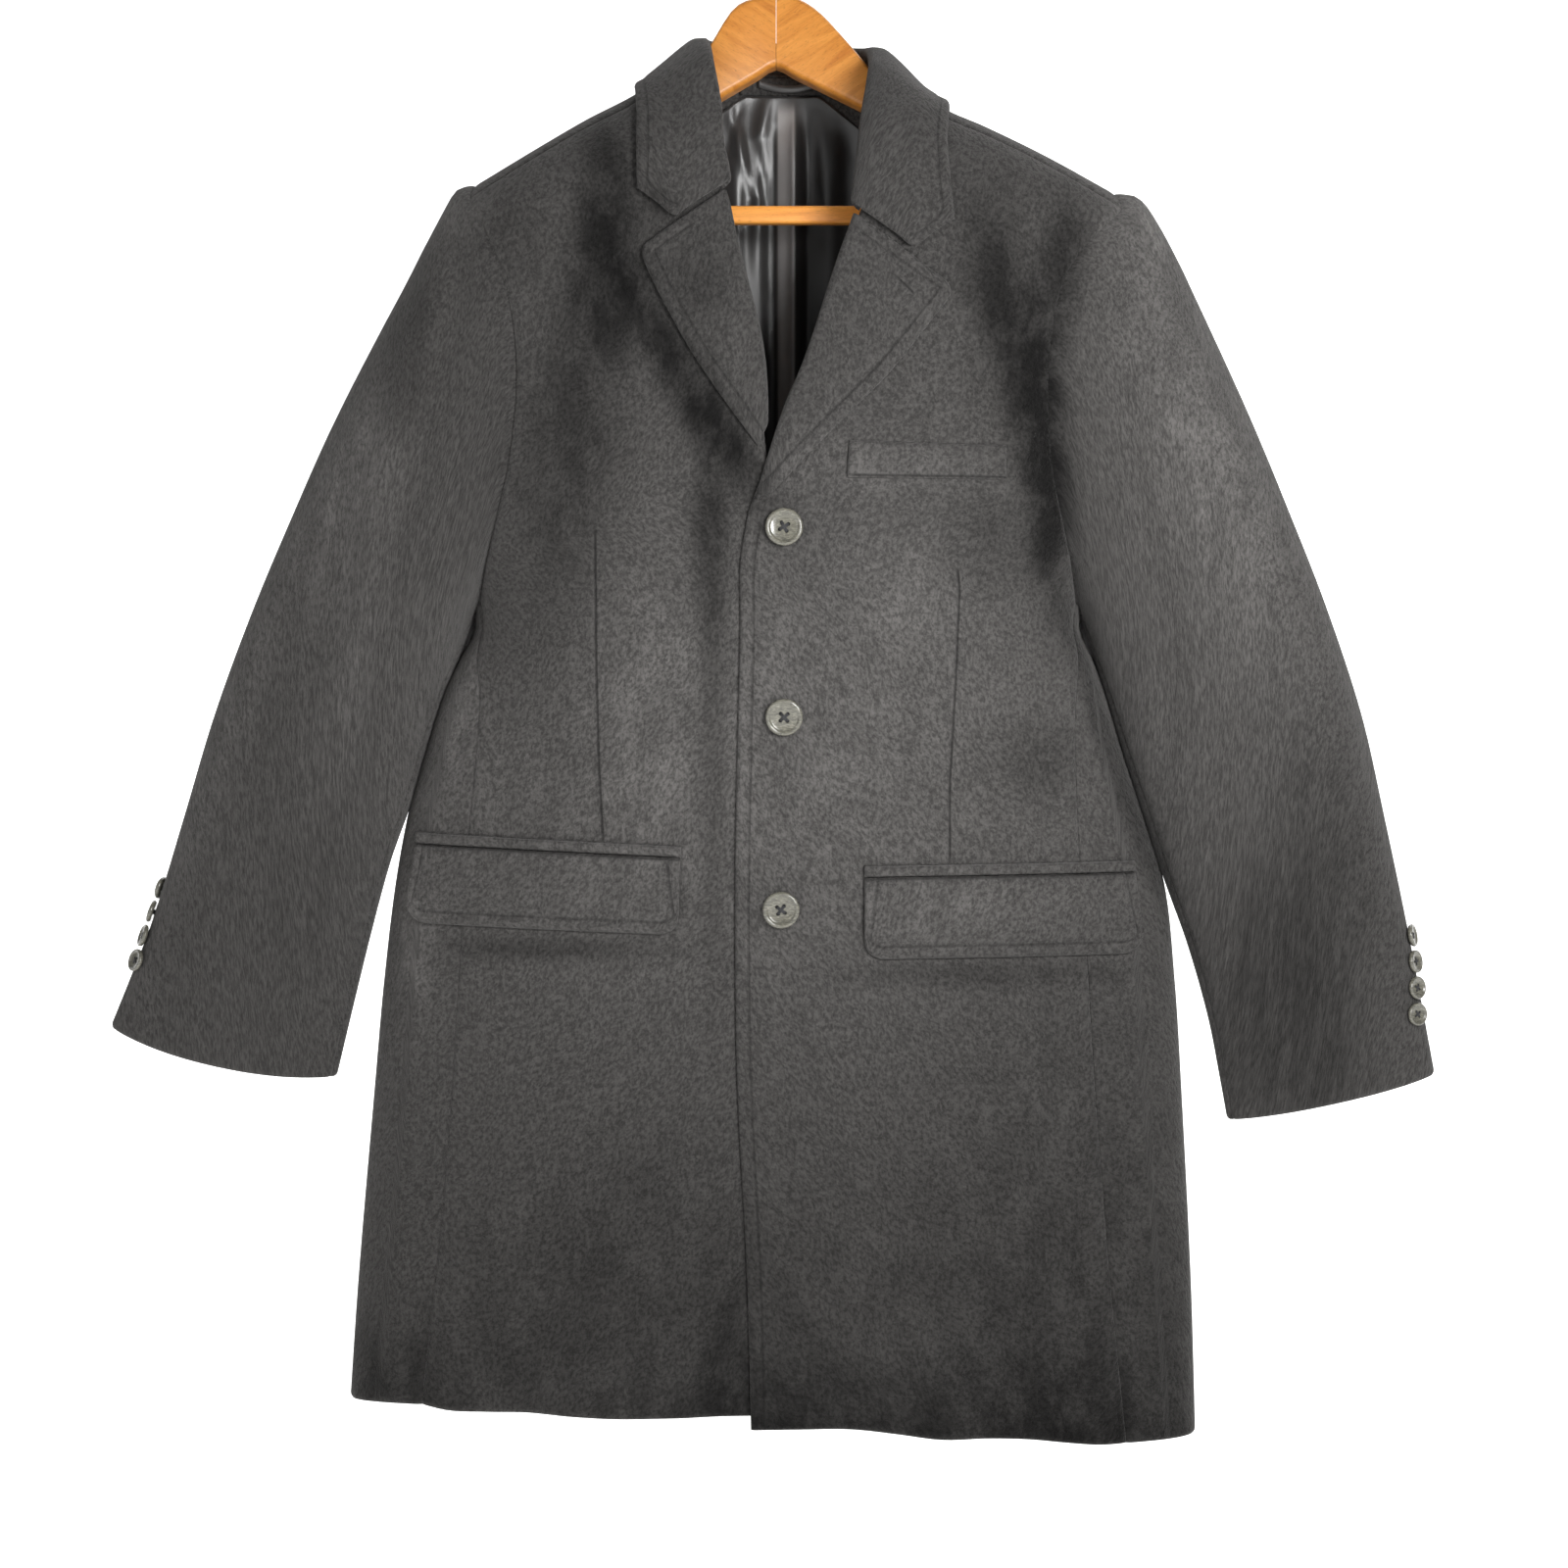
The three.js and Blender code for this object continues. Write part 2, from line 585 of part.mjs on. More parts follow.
// face is -1 in front and 1 behind
function bodyPoint(x, z, face) {
  const level = sample(bodyLevels, 'z', z);
  const across = Math.abs(x - (level.minX + level.maxX) / 2) / ((level.maxX - level.minX) / 2);
  const free = Math.max(0, 1 - across ** roundness) * (1 - shoulderRatio(x, z) ** roundness);
  const depth = face < 0 ? level.front : level.back;
  return new THREE.Vector3(x, middleY(x, z) + face * depth * Math.max(0, free) ** (1 / roundness), z);
}

// Turn over the rounded shoulder in degrees, from a drop below the shoulder line
function shoulderTurn(drop) {
  const ratio = Math.max(0, 1 - Math.abs(drop) / shoulderRound);
  return (Math.sign(drop) * Math.acos(ratio ** (roundness / 2)) * 180) / Math.PI;
}

// A point over the shoulder: 0 degrees on the shoulder line, negative in front
function shoulderPoint(x, turn) {
  const angle = (Math.abs(turn) * Math.PI) / 180;
  const drop = shoulderRound * (1 - Math.cos(angle) ** (2 / roundness));
  return bodyPoint(x, shoulderHeight(x) - drop, turn < 0 ? -1 : 1);
}

function neckPoint(station) {
  const drop = station.neckDrop;
  if (Math.abs(drop) >= shoulderRound) {
    return bodyPoint(station.neckX, shoulderHeight(station.neckX) - Math.abs(drop), Math.sign(drop));
  }
  return shoulderPoint(station.neckX, shoulderTurn(drop));
}

// A point round the body at one level: 0 degrees in front, 90 at the side, 180 behind
function sidePoint(side, z, angle) {
  const level = sample(bodyLevels, 'z', z);
  const halfWidth = (level.maxX - level.minX) / 2;
  const across = Math.sin(angle) ** (2 / roundness);
  const x = (level.minX + level.maxX) / 2 + side.sign * halfWidth * Math.min(1, across);
  const through = Math.abs(Math.cos(angle)) ** (2 / roundness);
  const depth = Math.cos(angle) > 0 ? -level.front : level.back;
  return new THREE.Vector3(x, middleY(x, z) + depth * through, z);
}

function sideAngle(x, z) {
  const level = sample(bodyLevels, 'z', z);
  const across = Math.abs(x - (level.minX + level.maxX) / 2) / ((level.maxX - level.minX) / 2);
  return Math.asin(Math.min(1, across) ** (roundness / 2));
}

function foldDepth(x, z, face) {
  let depth = 0;
  for (const fold of skirtFolds) {
    if (fold.face === face) {
      const spread = Math.exp(-(((x - fold.x) / fold.width) ** 2));
      depth += fold.depth * spread * smooth(fold.top, fold.bottom, z);
    }
  }
  return depth;
}

function overlapLift(side, x, z) {
  if (side !== leftSide) {
    return 0;
  }
  const { lift, insideX, outsideX, top, bottom } = overlap;
  return lift * smooth(outsideX, insideX, x) * smooth(top, bottom, z);
}

// Moves a point out along the body's normal, with the folds and the lift of the upper front
function layOut(side, point, out) {
  const face = point.y < middleY(point.x, point.z) ? -1 : 1;
  const moved = point.clone().addScaledVector(bodyNormal(point), out);
  const lift = face < 0 ? overlapLift(side, point.x, point.z) : 0;
  moved.y += face * foldDepth(point.x, point.z, face) - lift;
  return moved;
}

// Walls from grids of points

function insetRim(grid, distance) {
  const rows = grid.length;
  const columns = grid[0].length;
  const source = grid.map((row) => row.map((point) => point.clone()));
  const pull = (point, from, toward) => {
    point.addScaledVector(toward.clone().sub(from).normalize(), distance);
  };
  for (let c = 0; c < columns; c += 1) {
    pull(grid[0][c], source[0][c], source[1][c]);
    pull(grid[rows - 1][c], source[rows - 1][c], source[rows - 2][c]);
  }
  for (let r = 0; r < rows; r += 1) {
    pull(grid[r][0], source[r][0], source[r][1]);
    pull(grid[r][columns - 1], source[r][columns - 1], source[r][columns - 2]);
  }
}

function solidGeometry(positions, triangles) {
  const volume = triangles.reduce((sum, [a, b, c]) => {
    return sum + positions[a].dot(positions[b].clone().cross(positions[c]));
  }, 0);
  const geometry = new THREE.BufferGeometry();
  geometry.setFromPoints(positions);
  geometry.setIndex(triangles.flatMap(([a, b, c]) => (volume > 0 ? [a, b, c] : [a, c, b])));
  geometry.computeVertexNormals();
  return geometry;
}

// A closed wall between an outer and an inner grid of the same size
function wallBetween(outer, inner) {
  const rows = outer.length;
  const columns = outer[0].length;
  insetRim(outer, seamGap / 2);
  insetRim(inner, seamGap / 2);
  const positions = [...outer.flat(), ...inner.flat()];
  const at = (layer, r, c) => (layer * rows + r) * columns + c;
  const triangles = [];
  const addQuad = (a, b, c, d) => triangles.push([a, b, c], [a, c, d]);
  for (let r = 0; r < rows - 1; r += 1) {
    for (let c = 0; c < columns - 1; c += 1) {
      addQuad(at(0, r, c), at(0, r, c + 1), at(0, r + 1, c + 1), at(0, r + 1, c));
      addQuad(at(1, r, c), at(1, r + 1, c), at(1, r + 1, c + 1), at(1, r, c + 1));
    }
  }
  for (let c = 0; c < columns - 1; c += 1) {
    addQuad(at(0, 0, c + 1), at(0, 0, c), at(1, 0, c), at(1, 0, c + 1));
    addQuad(at(0, rows - 1, c), at(0, rows - 1, c + 1), at(1, rows - 1, c + 1), at(1, rows - 1, c));
  }
  const end = columns - 1;
  for (let r = 0; r < rows - 1; r += 1) {
    addQuad(at(0, r, 0), at(0, r + 1, 0), at(1, r + 1, 0), at(1, r, 0));
    addQuad(at(0, r + 1, end), at(0, r, end), at(1, r, end), at(1, r + 1, end));
  }
  return solidGeometry(positions, triangles);
}

// Normals of a grid, turned to the side on which `outward` of the middle point is positive
function gridNormals(grid, outward) {
  const rows = grid.length;
  const columns = grid[0].length;
  const normals = grid.map((row, r) => row.map((_, c) => {
    const along = grid[Math.min(r + 1, rows - 1)][c].clone().sub(grid[Math.max(r - 1, 0)][c]);
    const across = grid[r][Math.min(c + 1, columns - 1)].clone().sub(grid[r][Math.max(c - 1, 0)]);
    return along.cross(across).normalize();
  }));
  const r = Math.floor(rows / 2);
  const c = Math.floor(columns / 2);
  const flip = Math.sign(normals[r][c].dot(outward)) || 1;
  normals.flat().forEach((normal) => normal.multiplyScalar(flip));
  return normals;
}

// A grid on the body, as a wall that starts `base` above it and is `wall` thick
function bodyWall(side, grid, base, wall) {
  const outer = grid.map((row) => row.map((point) => layOut(side, point, base + wall)));
  const inner = grid.map((row) => row.map((point) => layOut(side, point, base)));
  return wallBetween(outer, inner);
}

function fractions(count, crowdEnd) {
  return Array.from({ length: count + 1 }, (_, i) => 1 - (1 - i / count) ** crowdEnd);
}

// Fronts, sides and back

const seamShares = fractions(9, 1.2);
const bowRows = 4;
const lowerRows = 13;
const lowerShares = Array.from({ length: lowerRows }, (_, r) => ((r + 1) / lowerRows) ** 1.12);

// Fills a grid from the underarm to the hem, between an inner line and a seam
function lowerPanel(top, shares, inner, seam, hem, face) {
  const seamEnd = seam[seam.length - 1];
  const innerEnd = inner[inner.length - 1];
  return lowerShares.map((down) => shares.map((t) => {
    const innerX = sample(inner, 'z', mix(top.meetZ, innerEnd.z, down)).x;
    const seamX = sample(seam, 'z', mix(top.z, seamEnd.z, down)).x;
    const x = mix(innerX, seamX, t);
    const hemZ = t === shares[shares.length - 1] ? seamEnd.z : sample(hem, 'x', x).z;
    return bodyPoint(x, mix(mix(top.meetZ, top.z, t), hemZ, down), face);
  }));
}

function frontGrid(side) {
  const neck = side.frontEdge[0];
  const seamTurn = shoulderTurns[0];
  const grid = [seamShares.map((t) => shoulderPoint(mix(neck.x, side.tipX, t), seamTurn))];
  const lastRow = side.frontArmhole.length - 1;
  side.frontArmhole.forEach((row, i) => {
    const edgeX = sample(side.frontEdge, 'z', row.meetZ).x;
    const follow = Math.max(0, 1 - (i + 1) / bowRows);
    grid.push(seamShares.map((t) => {
      const x = mix(edgeX, row.x, t);
      const bow = shoulderHeight(x) - mix(shoulderHeight(edgeX), shoulderHeight(row.x), t);
      return bodyPoint(x, mix(row.meetZ, row.z, t) + bow * follow, -1);
    }));
  });
  const corner = side.frontArmhole[lastRow];
  grid.push(...lowerPanel(corner, seamShares, side.frontEdge, side.frontSeam, side.frontHem, -1));
  return grid;
}

function backGrid(side) {
  const neck = side.neckStations.map((index) => collarStations[index]);
  const topLine = [
    ...neck.slice(0, -1).map((station) => ({ x: station.neckX, turn: shoulderTurn(station.neckDrop) })),
    ...seamShares.map((t) => ({ x: mix(side.frontEdge[0].x, side.tipX, t), turn: shoulderTurns[0] })),
  ];
  const columns = topLine.length - 1;
  const shares = topLine.map((_, c) => c / columns);
  const lowest = shoulderTurns[shoulderTurns.length - 1];
  const middleX = centreBack[0].x;
  const grid = shoulderTurns.map((seamTurn) => {
    const settle = (seamTurn - shoulderTurns[0]) / (lowest - shoulderTurns[0]);
    return topLine.map((top, c) => {
      const x = mix(top.x, mix(middleX, side.backTipX, shares[c]), settle);
      return shoulderPoint(x, mix(top.turn, lowest, settle));
    });
  });
  for (const row of side.backArmhole) {
    const innerX = sample(centreBack, 'z', row.meetZ).x;
    grid.push(shares.map((t) => bodyPoint(mix(innerX, row.x, t), mix(row.meetZ, row.z, t), 1)));
  }
  const under = side.backArmhole[side.backArmhole.length - 1];
  grid.push(...lowerPanel(under, shares, centreBack, side.backSeam, backHem, 1));
  return grid;
}

// The top edge of the side panel dips from the front corner to the underarm and rises again
function underarmHeight(side, turn) {
  const front = side.frontArmhole[side.frontArmhole.length - 1];
  const back = side.backArmhole[side.backArmhole.length - 1];
  return mix(front.z, back.z, turn) - (underarmZ + front.z) * Math.sin(Math.PI * turn) ** 0.8;
}

function sideGrid(side) {
  const columns = 6;
  const frontEnd = side.frontSeam[side.frontSeam.length - 1];
  const backEnd = side.backSeam[side.backSeam.length - 1];
  return [0, ...lowerShares].map((down) => Array.from({ length: columns + 1 }, (_, c) => {
    const turn = c / columns;
    const z = mix(underarmHeight(side, turn), mix(frontEnd.z, backEnd.z, turn), down);
    const from = sideAngle(sample(side.frontSeam, 'z', z).x, z);
    const to = Math.PI - sideAngle(sample(side.backSeam, 'z', z).x, z);
    return sidePoint(side, z, mix(from, to, turn));
  }));
}

const panels = new Map();
for (const side of [rightSide, leftSide]) {
  panels.set(side, { front: frontGrid(side), back: backGrid(side), side: sideGrid(side) });
}

for (const side of [rightSide, leftSide]) {
  for (const [panel, grid] of Object.entries(panels.get(side))) {
    addPart(`${panel}_${side.name}`, bodyWall(side, grid, -clothWall, clothWall), materials.wool);
  }
}

// Sleeves

// The armhole's points from the shoulder tip over the front and under the arm to the back,
// each with its angle round the sleeve: 0 at the tip, 90 in front, 180 at the underarm
function armholeRing(side) {
  const { front, back, side: sidePanel } = panels.get(side);
  const over = shoulderTurns.indexOf(0);
  const backEdge = back.map((row) => row[row.length - 1]);
  const frontEdge = front.map((row) => row[row.length - 1]);
  const lastFront = side.frontArmhole.length;
  const lastBack = shoulderTurns.length + side.backArmhole.length - 1;
  const points = [
    ...backEdge.slice(1, over + 1).reverse(),
    ...frontEdge.slice(0, lastFront + 1),
    ...sidePanel[0].slice(1, -1),
    ...backEdge.slice(over + 1, lastBack + 1).reverse(),
  ].map((point) => point.clone());
  const station = sleeveTables[side.name][0];
  return points.map((point) => ({ point, degrees: ringAngle(station, point) }));
}

// The angle at which a station's ring passes closest to a point
function ringAngle(station, point) {
  const reach = new THREE.Vector3(station.outX - station.inX, 0, station.outZ - station.inZ);
  reach.divideScalar(2);
  const middleX = (station.outX + station.inX) / 2;
  const middleZ = (station.outZ + station.inZ) / 2;
  const dot = (point.x - middleX) * reach.x + (point.z - middleZ) * reach.z;
  const along = Math.max(-1, Math.min(1, dot / reach.lengthSq()));
  const forward = mix(station.inY, station.outY, (1 + along) / 2) - point.y;
  const through = forward / (forward > 0 ? station.front : station.back);
  const power = sleeveRoundness / 2;
  const rise = Math.sign(through) * Math.abs(through) ** power;
  const run = Math.sign(along) * Math.abs(along) ** power;
  return ((Math.atan2(rise, run) * 180) / Math.PI + 360) % 360;
}

function sleeveRing(station, angle) {
  const outer = new THREE.Vector3(station.outX, 0, station.outZ);
  const inner = new THREE.Vector3(station.inX, 0, station.inZ);
  const middle = outer.clone().add(inner).multiplyScalar(0.5);
  const reach = outer.clone().sub(inner).multiplyScalar(0.5);
  const down = new THREE.Vector3(reach.z, 0, -reach.x).normalize();
  down.multiplyScalar(down.z > 0 ? -1 : 1);
  const across = Math.sign(Math.cos(angle)) * Math.abs(Math.cos(angle)) ** (2 / sleeveRoundness);
  const through = Math.abs(Math.sin(angle)) ** (2 / sleeveRoundness);
  const frontward = Math.sin(angle) >= 0;
  const point = middle.addScaledVector(reach, across);
  point.addScaledVector(down, (station.sag - station.bow) * Math.sin(angle) ** 2);
  const middleDepth = mix(station.inY, station.outY, (1 + across) / 2);
  point.y = middleDepth + (frontward ? -station.front : station.back) * through;
  return point;
}

function sleeveFold(folds, along, degrees) {
  let depth = 0;
  for (const fold of folds) {
    const t = (along - fold.from) / (fold.to - fold.from);
    if (t > 0 && t < 1) {
      const off = (degrees - mix(fold.startAngle, fold.endAngle, t)) / fold.width;
      depth += fold.depth * Math.exp(-off * off) * Math.sin(Math.PI * t) ** 0.7;
    }
  }
  return depth;
}

const sleeveSteps = [0, 0.4, 0.9, 1.5, 2.2, 3, 4, 5, 6, 7, 8, 9, 9.6, 10];
const lastStep = 10;

// Rings of points from the armhole to the cuff
function sleeveGrid(side, table, ring) {
  const folds = sleeveFolds[side.name];
  return sleeveSteps.map((step) => {
    const station = sample(table, 'i', step);
    const settle = Math.max(0, 1 - step / sleeveSettle) ** 2;
    return ring.map(({ point: seam, degrees }) => {
      const angle = (degrees * Math.PI) / 180;
      const underarm = smooth(100, 175, degrees <= 180 ? degrees : 360 - degrees);
      const start = seam.clone().addScaledVector(bodyNormal(seam), underarmClearance * underarm);
      const miss = start.sub(sleeveRing(table[0], angle));
      const point = sleeveRing(station, angle).addScaledVector(miss, settle);
      const depth = sleeveFold(folds, step / lastStep, degrees) * smooth(0, 1, step);
      const push = new THREE.Vector3(side.sign * Math.max(0, Math.cos(angle)), -Math.sin(angle), 0);
      return point.addScaledVector(push, depth);
    });
  });
}

// The inner points; the first ring's are kept off the body by dropping what points toward it
function sleeveInner(grid) {
  const count = grid[0].length;
  const normals = grid.map((row, r) => row.map((point, c) => {
    const along = grid[Math.min(r + 1, grid.length - 1)][c].clone().sub(grid[Math.max(r - 1, 0)][c]);
    const across = row[(c + 1) % count].clone().sub(row[(c + count - 1) % count]);
    return along.cross(across).normalize();
  }));
  const middle = grid[3].reduce((sum, point) => sum.add(point), new THREE.Vector3()).divideScalar(count);
  const flip = Math.sign(normals[3][0].dot(grid[3][0].clone().sub(middle)));
  return grid.map((row, r) => row.map((point, c) => {
    const step = normals[r][c].clone().multiplyScalar(-clothWall * flip);
    if (r === 0) {
      const seam = row[(c + 1) % count].clone().sub(row[(c + count - 1) % count]).normalize();
      const toBody = bodyNormal(point).cross(seam).normalize();
      toBody.multiplyScalar(-Math.sign(toBody.dot(grid[2][c].clone().sub(point))) || 1);
      step.addScaledVector(toBody, -Math.max(0, step.dot(toBody)));
      step.setLength(clothWall);
    }
    return point.clone().add(step);
  }));
}

// Columns of a closed ring from one index round to another
function ringPart(grid, from, to) {
  const count = grid[0].length;
  const length = ((to - from + count) % count) + 1;
  return grid.map((row) => Array.from({ length }, (_, c) => row[(from + c) % count].clone()));
}

function nearestIndex(ring, degrees) {
  const distance = (entry) => Math.abs(((entry.degrees - degrees + 540) % 360) - 180);
  return ring.reduce((best, entry, i) => (distance(entry) < distance(ring[best]) ? i : best), 0);
}

for (const side of [rightSide, leftSide]) {
  const ring = armholeRing(side);
  const outer = sleeveGrid(side, sleeveTables[side.name], ring);
  const inner = sleeveInner(outer);
  const hindarm = nearestIndex(ring, hindarmSeam);
  const forearm = nearestIndex(ring, forearmSeam);
  const topWall = wallBetween(ringPart(outer, hindarm, forearm), ringPart(inner, hindarm, forearm));
  const underWall = wallBetween(ringPart(outer, forearm, hindarm), ringPart(inner, forearm, hindarm));
  addPart(`sleeve_top_${side.name}`, topWall, materials.wool);
  addPart(`sleeve_under_${side.name}`, underWall, materials.wool);
}

// Collar and lapels

// Lifts a point until it stands clear of the body by the given distance
function restOnBody(point, clearance) {
  for (let i = 0; i < 8; i += 1) {
    const step = 0.2;
    const { x, y, z } = point;
    const slope = new THREE.Vector3(
      bodyField(x + step, y, z) - bodyField(x - step, y, z),
      bodyField(x, y + step, z) - bodyField(x, y - step, z),
      bodyField(x, y, z + step) - bodyField(x, y, z - step),
    ).divideScalar(2 * step);
    const distance = bodyField(x, y, z) / slope.length();
    if (distance < clearance) {
      point.addScaledVector(slope.normalize(), Math.min(4, clearance - distance));
    }
  }
  return point;
}

function collarLeafGrid() {
  const across = [0, 0.1, 0.24, 0.42, collarNotch, 0.8, 1];
  return collarStations.map((station) => across.map((t) => {
    const peak = t < collarNotch ? t / collarNotch : (1 - t) / (1 - collarNotch);
    const point = new THREE.Vector3(
      mix(station.rollX, station.edgeX, t),
      mix(station.rollY, station.edgeY, t),
      mix(station.rollZ, station.edgeZ, t) - station.dip * peak,
    );
    const lift = collarPuff * Math.sin(Math.PI * Math.sqrt(t)) * (1 - Math.min(1, station.dip / fullDip));
    point.addScaledVector(bodyNormal(point), lift);
    return restOnBody(point, doubledWall + collarClearance);
  }));
}

function collarStandGrid(leaf, leafNormals) {
  const { first, last } = standStations;
  const grid = [];
  for (let s = first; s <= last; s += 1) {
    const station = collarStations[s];
    const neck = neckPoint(station);
    const roll = leaf[s][0].clone().addScaledVector(leafNormals[s][0], -(doubledWall + standClearance));
    const lift = roll.clone().sub(neck);
    neck.addScaledVector(lift.clone().normalize(), seamGap * 2);
    grid.push([0, 0.5, 1].map((t) => neck.clone().lerp(roll, t)));
  }
  return grid;
}

const upAndBack = new THREE.Vector3(0, 1, 0.6);
const leafGrid = collarLeafGrid();
const leafNormals = gridNormals(leafGrid, upAndBack);
const leafInner = leafGrid.map((row, r) => row.map((point, c) => {
  return point.clone().addScaledVector(leafNormals[r][c], -doubledWall);
}));
const standGrid = collarStandGrid(leafGrid, leafNormals);
const standNormals = gridNormals(standGrid, upAndBack);
const standInner = standGrid.map((row, r) => row.map((point, c) => {
  return point.clone().addScaledVector(standNormals[r][c], -clothWall);
}));
addPart('collar_leaf', wallBetween(leafGrid, leafInner), materials.wool);
addPart('collar_stand', wallBetween(standGrid, standInner), materials.wool);

function lapelGrid(table) {
  const across = [0, 0.08, 0.22, 0.42, 0.62, 0.82, 1];
  const rows = table.map((row, i) => ({ ...row, i }));
  const grid = [];
  for (let step = 0; step <= rows.length - 1; step += 0.5) {
    const row = sample(rows, 'i', step);
    grid.push(across.map((t) => bodyPoint(mix(row.rollX, row.edgeX, t), mix(row.rollZ, row.edgeZ, t), -1)));
  }
  return grid;
}

addPart('lapel_right', bodyWall(rightSide, lapelGrid(rightLapel), layGap, doubledWall), materials.wool);
addPart('lapel_left', bodyWall(leftSide, lapelGrid(leftLapel), layGap, doubledWall), materials.wool);

// Pockets

// A patch between two straight edges on a front, with its lower corners rounded
function patchGrid(shape, cornerRadius) {
  const width = shape.topX[1] - shape.topX[0];
  const ends = cornerRadius > 0 ? [0, 0.25, 0.55, 1].map((t) => (t * cornerRadius) / width) : [0, 0.08];
  const middle = [0.16, 0.26, 0.38, 0.5, 0.62, 0.74, 0.84];
  const across = [...ends, ...middle, ...ends.map((t) => 1 - t).reverse()];
  const downward = [0, 0.5, 1];
  return downward.map((down) => across.map((t) => {
    const fromEnd = Math.min(t, 1 - t) * width;
    const short = Math.max(0, cornerRadius - fromEnd);
    const rise = cornerRadius - Math.sqrt(cornerRadius ** 2 - short ** 2);
    const x = mix(mix(...shape.topX, t), mix(...shape.bottomX, t), down);
    const bottomZ = mix(...shape.bottomZ, t) + rise;
    return bodyPoint(x, mix(mix(...shape.topZ, t), bottomZ, down), -1);
  }));
}

function jetShape(flap) {
  const raise = (z) => z + jetHeight + seamGap;
  return {
    topX: flap.topX,
    topZ: flap.topZ.map(raise),
    bottomX: flap.topX,
    bottomZ: flap.topZ.map((z) => z + seamGap),
  };
}

for (const side of [rightSide, leftSide]) {
  const flap = flaps[side.name];
  const flapWall = bodyWall(side, patchGrid(flap, flapCornerRadius), layGap, doubledWall);
  const jetWall = bodyWall(side, patchGrid(jetShape(flap), 0), layGap, clothWall);
  addPart(`flap_${side.name}`, flapWall, materials.wool);
  addPart(`flap_jet_${side.name}`, jetWall, materials.wool);
}
addPart('breast_welt', bodyWall(leftSide, patchGrid(breastWelt, 0), layGap, clothWall), materials.wool);

// Buttons

function toManifold(geometry) {
  const bare = geometry.clone();
  bare.deleteAttribute('normal');
  bare.deleteAttribute('uv');
  const merged = mergeVertices(bare, 1e-4);
  const vertProperties = Float32Array.from(merged.attributes.position.array);
  const triVerts = Uint32Array.from(merged.index.array);
  return new wasm.Manifold(new wasm.Mesh({ numProp: 3, vertProperties, triVerts }));
}

function fromManifold(solid) {
  const { vertProperties, triVerts } = solid.getMesh();
  const geometry = new THREE.BufferGeometry();
  geometry.setAttribute('position', new THREE.BufferAttribute(Float32Array.from(vertProperties), 3));
  geometry.setIndex([...triVerts]);
  geometry.computeVertexNormals();
  return geometry;
}

// Axis along +Y, back face at y = 0, with a raised rim and four holes
function buttonGeometry(button) {
  const radius = button.diameter / 2;
  const height = button.thickness;
  const profile = [
    [0, 0],
    [radius * 0.86, 0],
    [radius, height * 0.55],
    [radius * 0.88, height],
    [radius * 0.68, height * 0.7],
    [0, height * 0.62],
  ].map(([x, y]) => new THREE.Vector2(x, y));
  let solid = toManifold(new THREE.LatheGeometry(profile, 16));
  for (const corner of [0, 1, 2, 3]) {
    const angle = (Math.PI / 2) * corner + Math.PI / 4;
    const hole = new THREE.CylinderGeometry(button.holeRadius, button.holeRadius, height * 3, 5);
    hole.translate(Math.cos(angle) * button.holeRing, 0, Math.sin(angle) * button.holeRing);
    solid = solid.subtract(toManifold(hole));
  }
  return fromManifold(solid);
}

function placeButton(name, button, point, normal) {
  const mesh = addPart(name, buttonGeometry(button), materials.horn);
  mesh.quaternion.setFromUnitVectors(new THREE.Vector3(0, 1, 0), normal);
  mesh.position.copy(point).addScaledVector(normal, layGap);
}

frontButtons.forEach((place, i) => {
  const base = bodyPoint(place.x, place.z, -1);
  placeButton(`button_front_${i + 1}`, frontButton, layOut(leftSide, base, 0), bodyNormal(base));
});

for (const side of [rightSide, leftSide]) {
  const table = sleeveTables[side.name];
  const row = cuffButtons[side.name];
  const ahead = 0.1;
  const aside = 0.05;
  let step = row.first * lastStep;
  for (let i = 1; i <= cuffButtonCount; i += 1) {
    const degrees = mix(row.firstAngle, row.lastAngle, (i - 1) / (cuffButtonCount - 1));
    const angle = (degrees * Math.PI) / 180;
    const point = sleeveRing(sample(table, 'i', step), angle);
    const along = sleeveRing(sample(table, 'i', step + ahead), angle).sub(point);
    const across = sleeveRing(sample(table, 'i', step), angle + aside).sub(point);
    const normal = along.clone().cross(across).normalize();
    normal.multiplyScalar(Math.sign(normal.x * side.sign));
    placeButton(`button_cuff_${side.name}_${i}`, cuffButton, point, normal);
    step += (ahead * cuffButtonPitch) / along.length();
  }
}

// Lining of the back, neck facing and hanging loop

function liningFoldDepth(x, z) {
  const open = smooth(foldsOpen.top, foldsOpen.bottom, z);
  return liningFolds.reduce((sum, fold) => {
    return sum + fold.depth * open * Math.exp(-(((x - fold.x) / fold.width) ** 2));
  }, 0);
}

function innerBackGrid(span, columns, rows) {
  const grid = [];
  for (let r = 0; r <= rows; r += 1) {
    const line = [];
    for (let c = 0; c <= columns; c += 1) {
      const x = mix(span.minX, span.maxX, c / columns);
      const top = Math.min(span.top, shoulderHeight(x) - span.shoulderDrop);
      line.push(bodyPoint(x, mix(top, span.bottom, (r / rows) ** 1.4), 1));
    }
    grid.push(line);
  }
  return grid;
}

const liningGrid = innerBackGrid(liningSpan, 36, 8);
const liningFace = liningGrid.map((row) => row.map((point) => {
  return layOut(rightSide, point, -clothWall - liningSpan.gap - liningFoldDepth(point.x, point.z));
}));
const liningBack = liningFace.map((row) => row.map((point) => {
  return point.clone().addScaledVector(bodyNormal(point), -liningWall);
}));
addPart('lining_back', wallBetween(liningFace, liningBack), materials.lining);

const facingBase = -clothWall - liningSpan.gap - facing.wall;
const facingGrid = innerBackGrid(facing, 12, 2);
addPart('neck_facing', bodyWall(rightSide, facingGrid, facingBase, facing.wall), materials.wool);

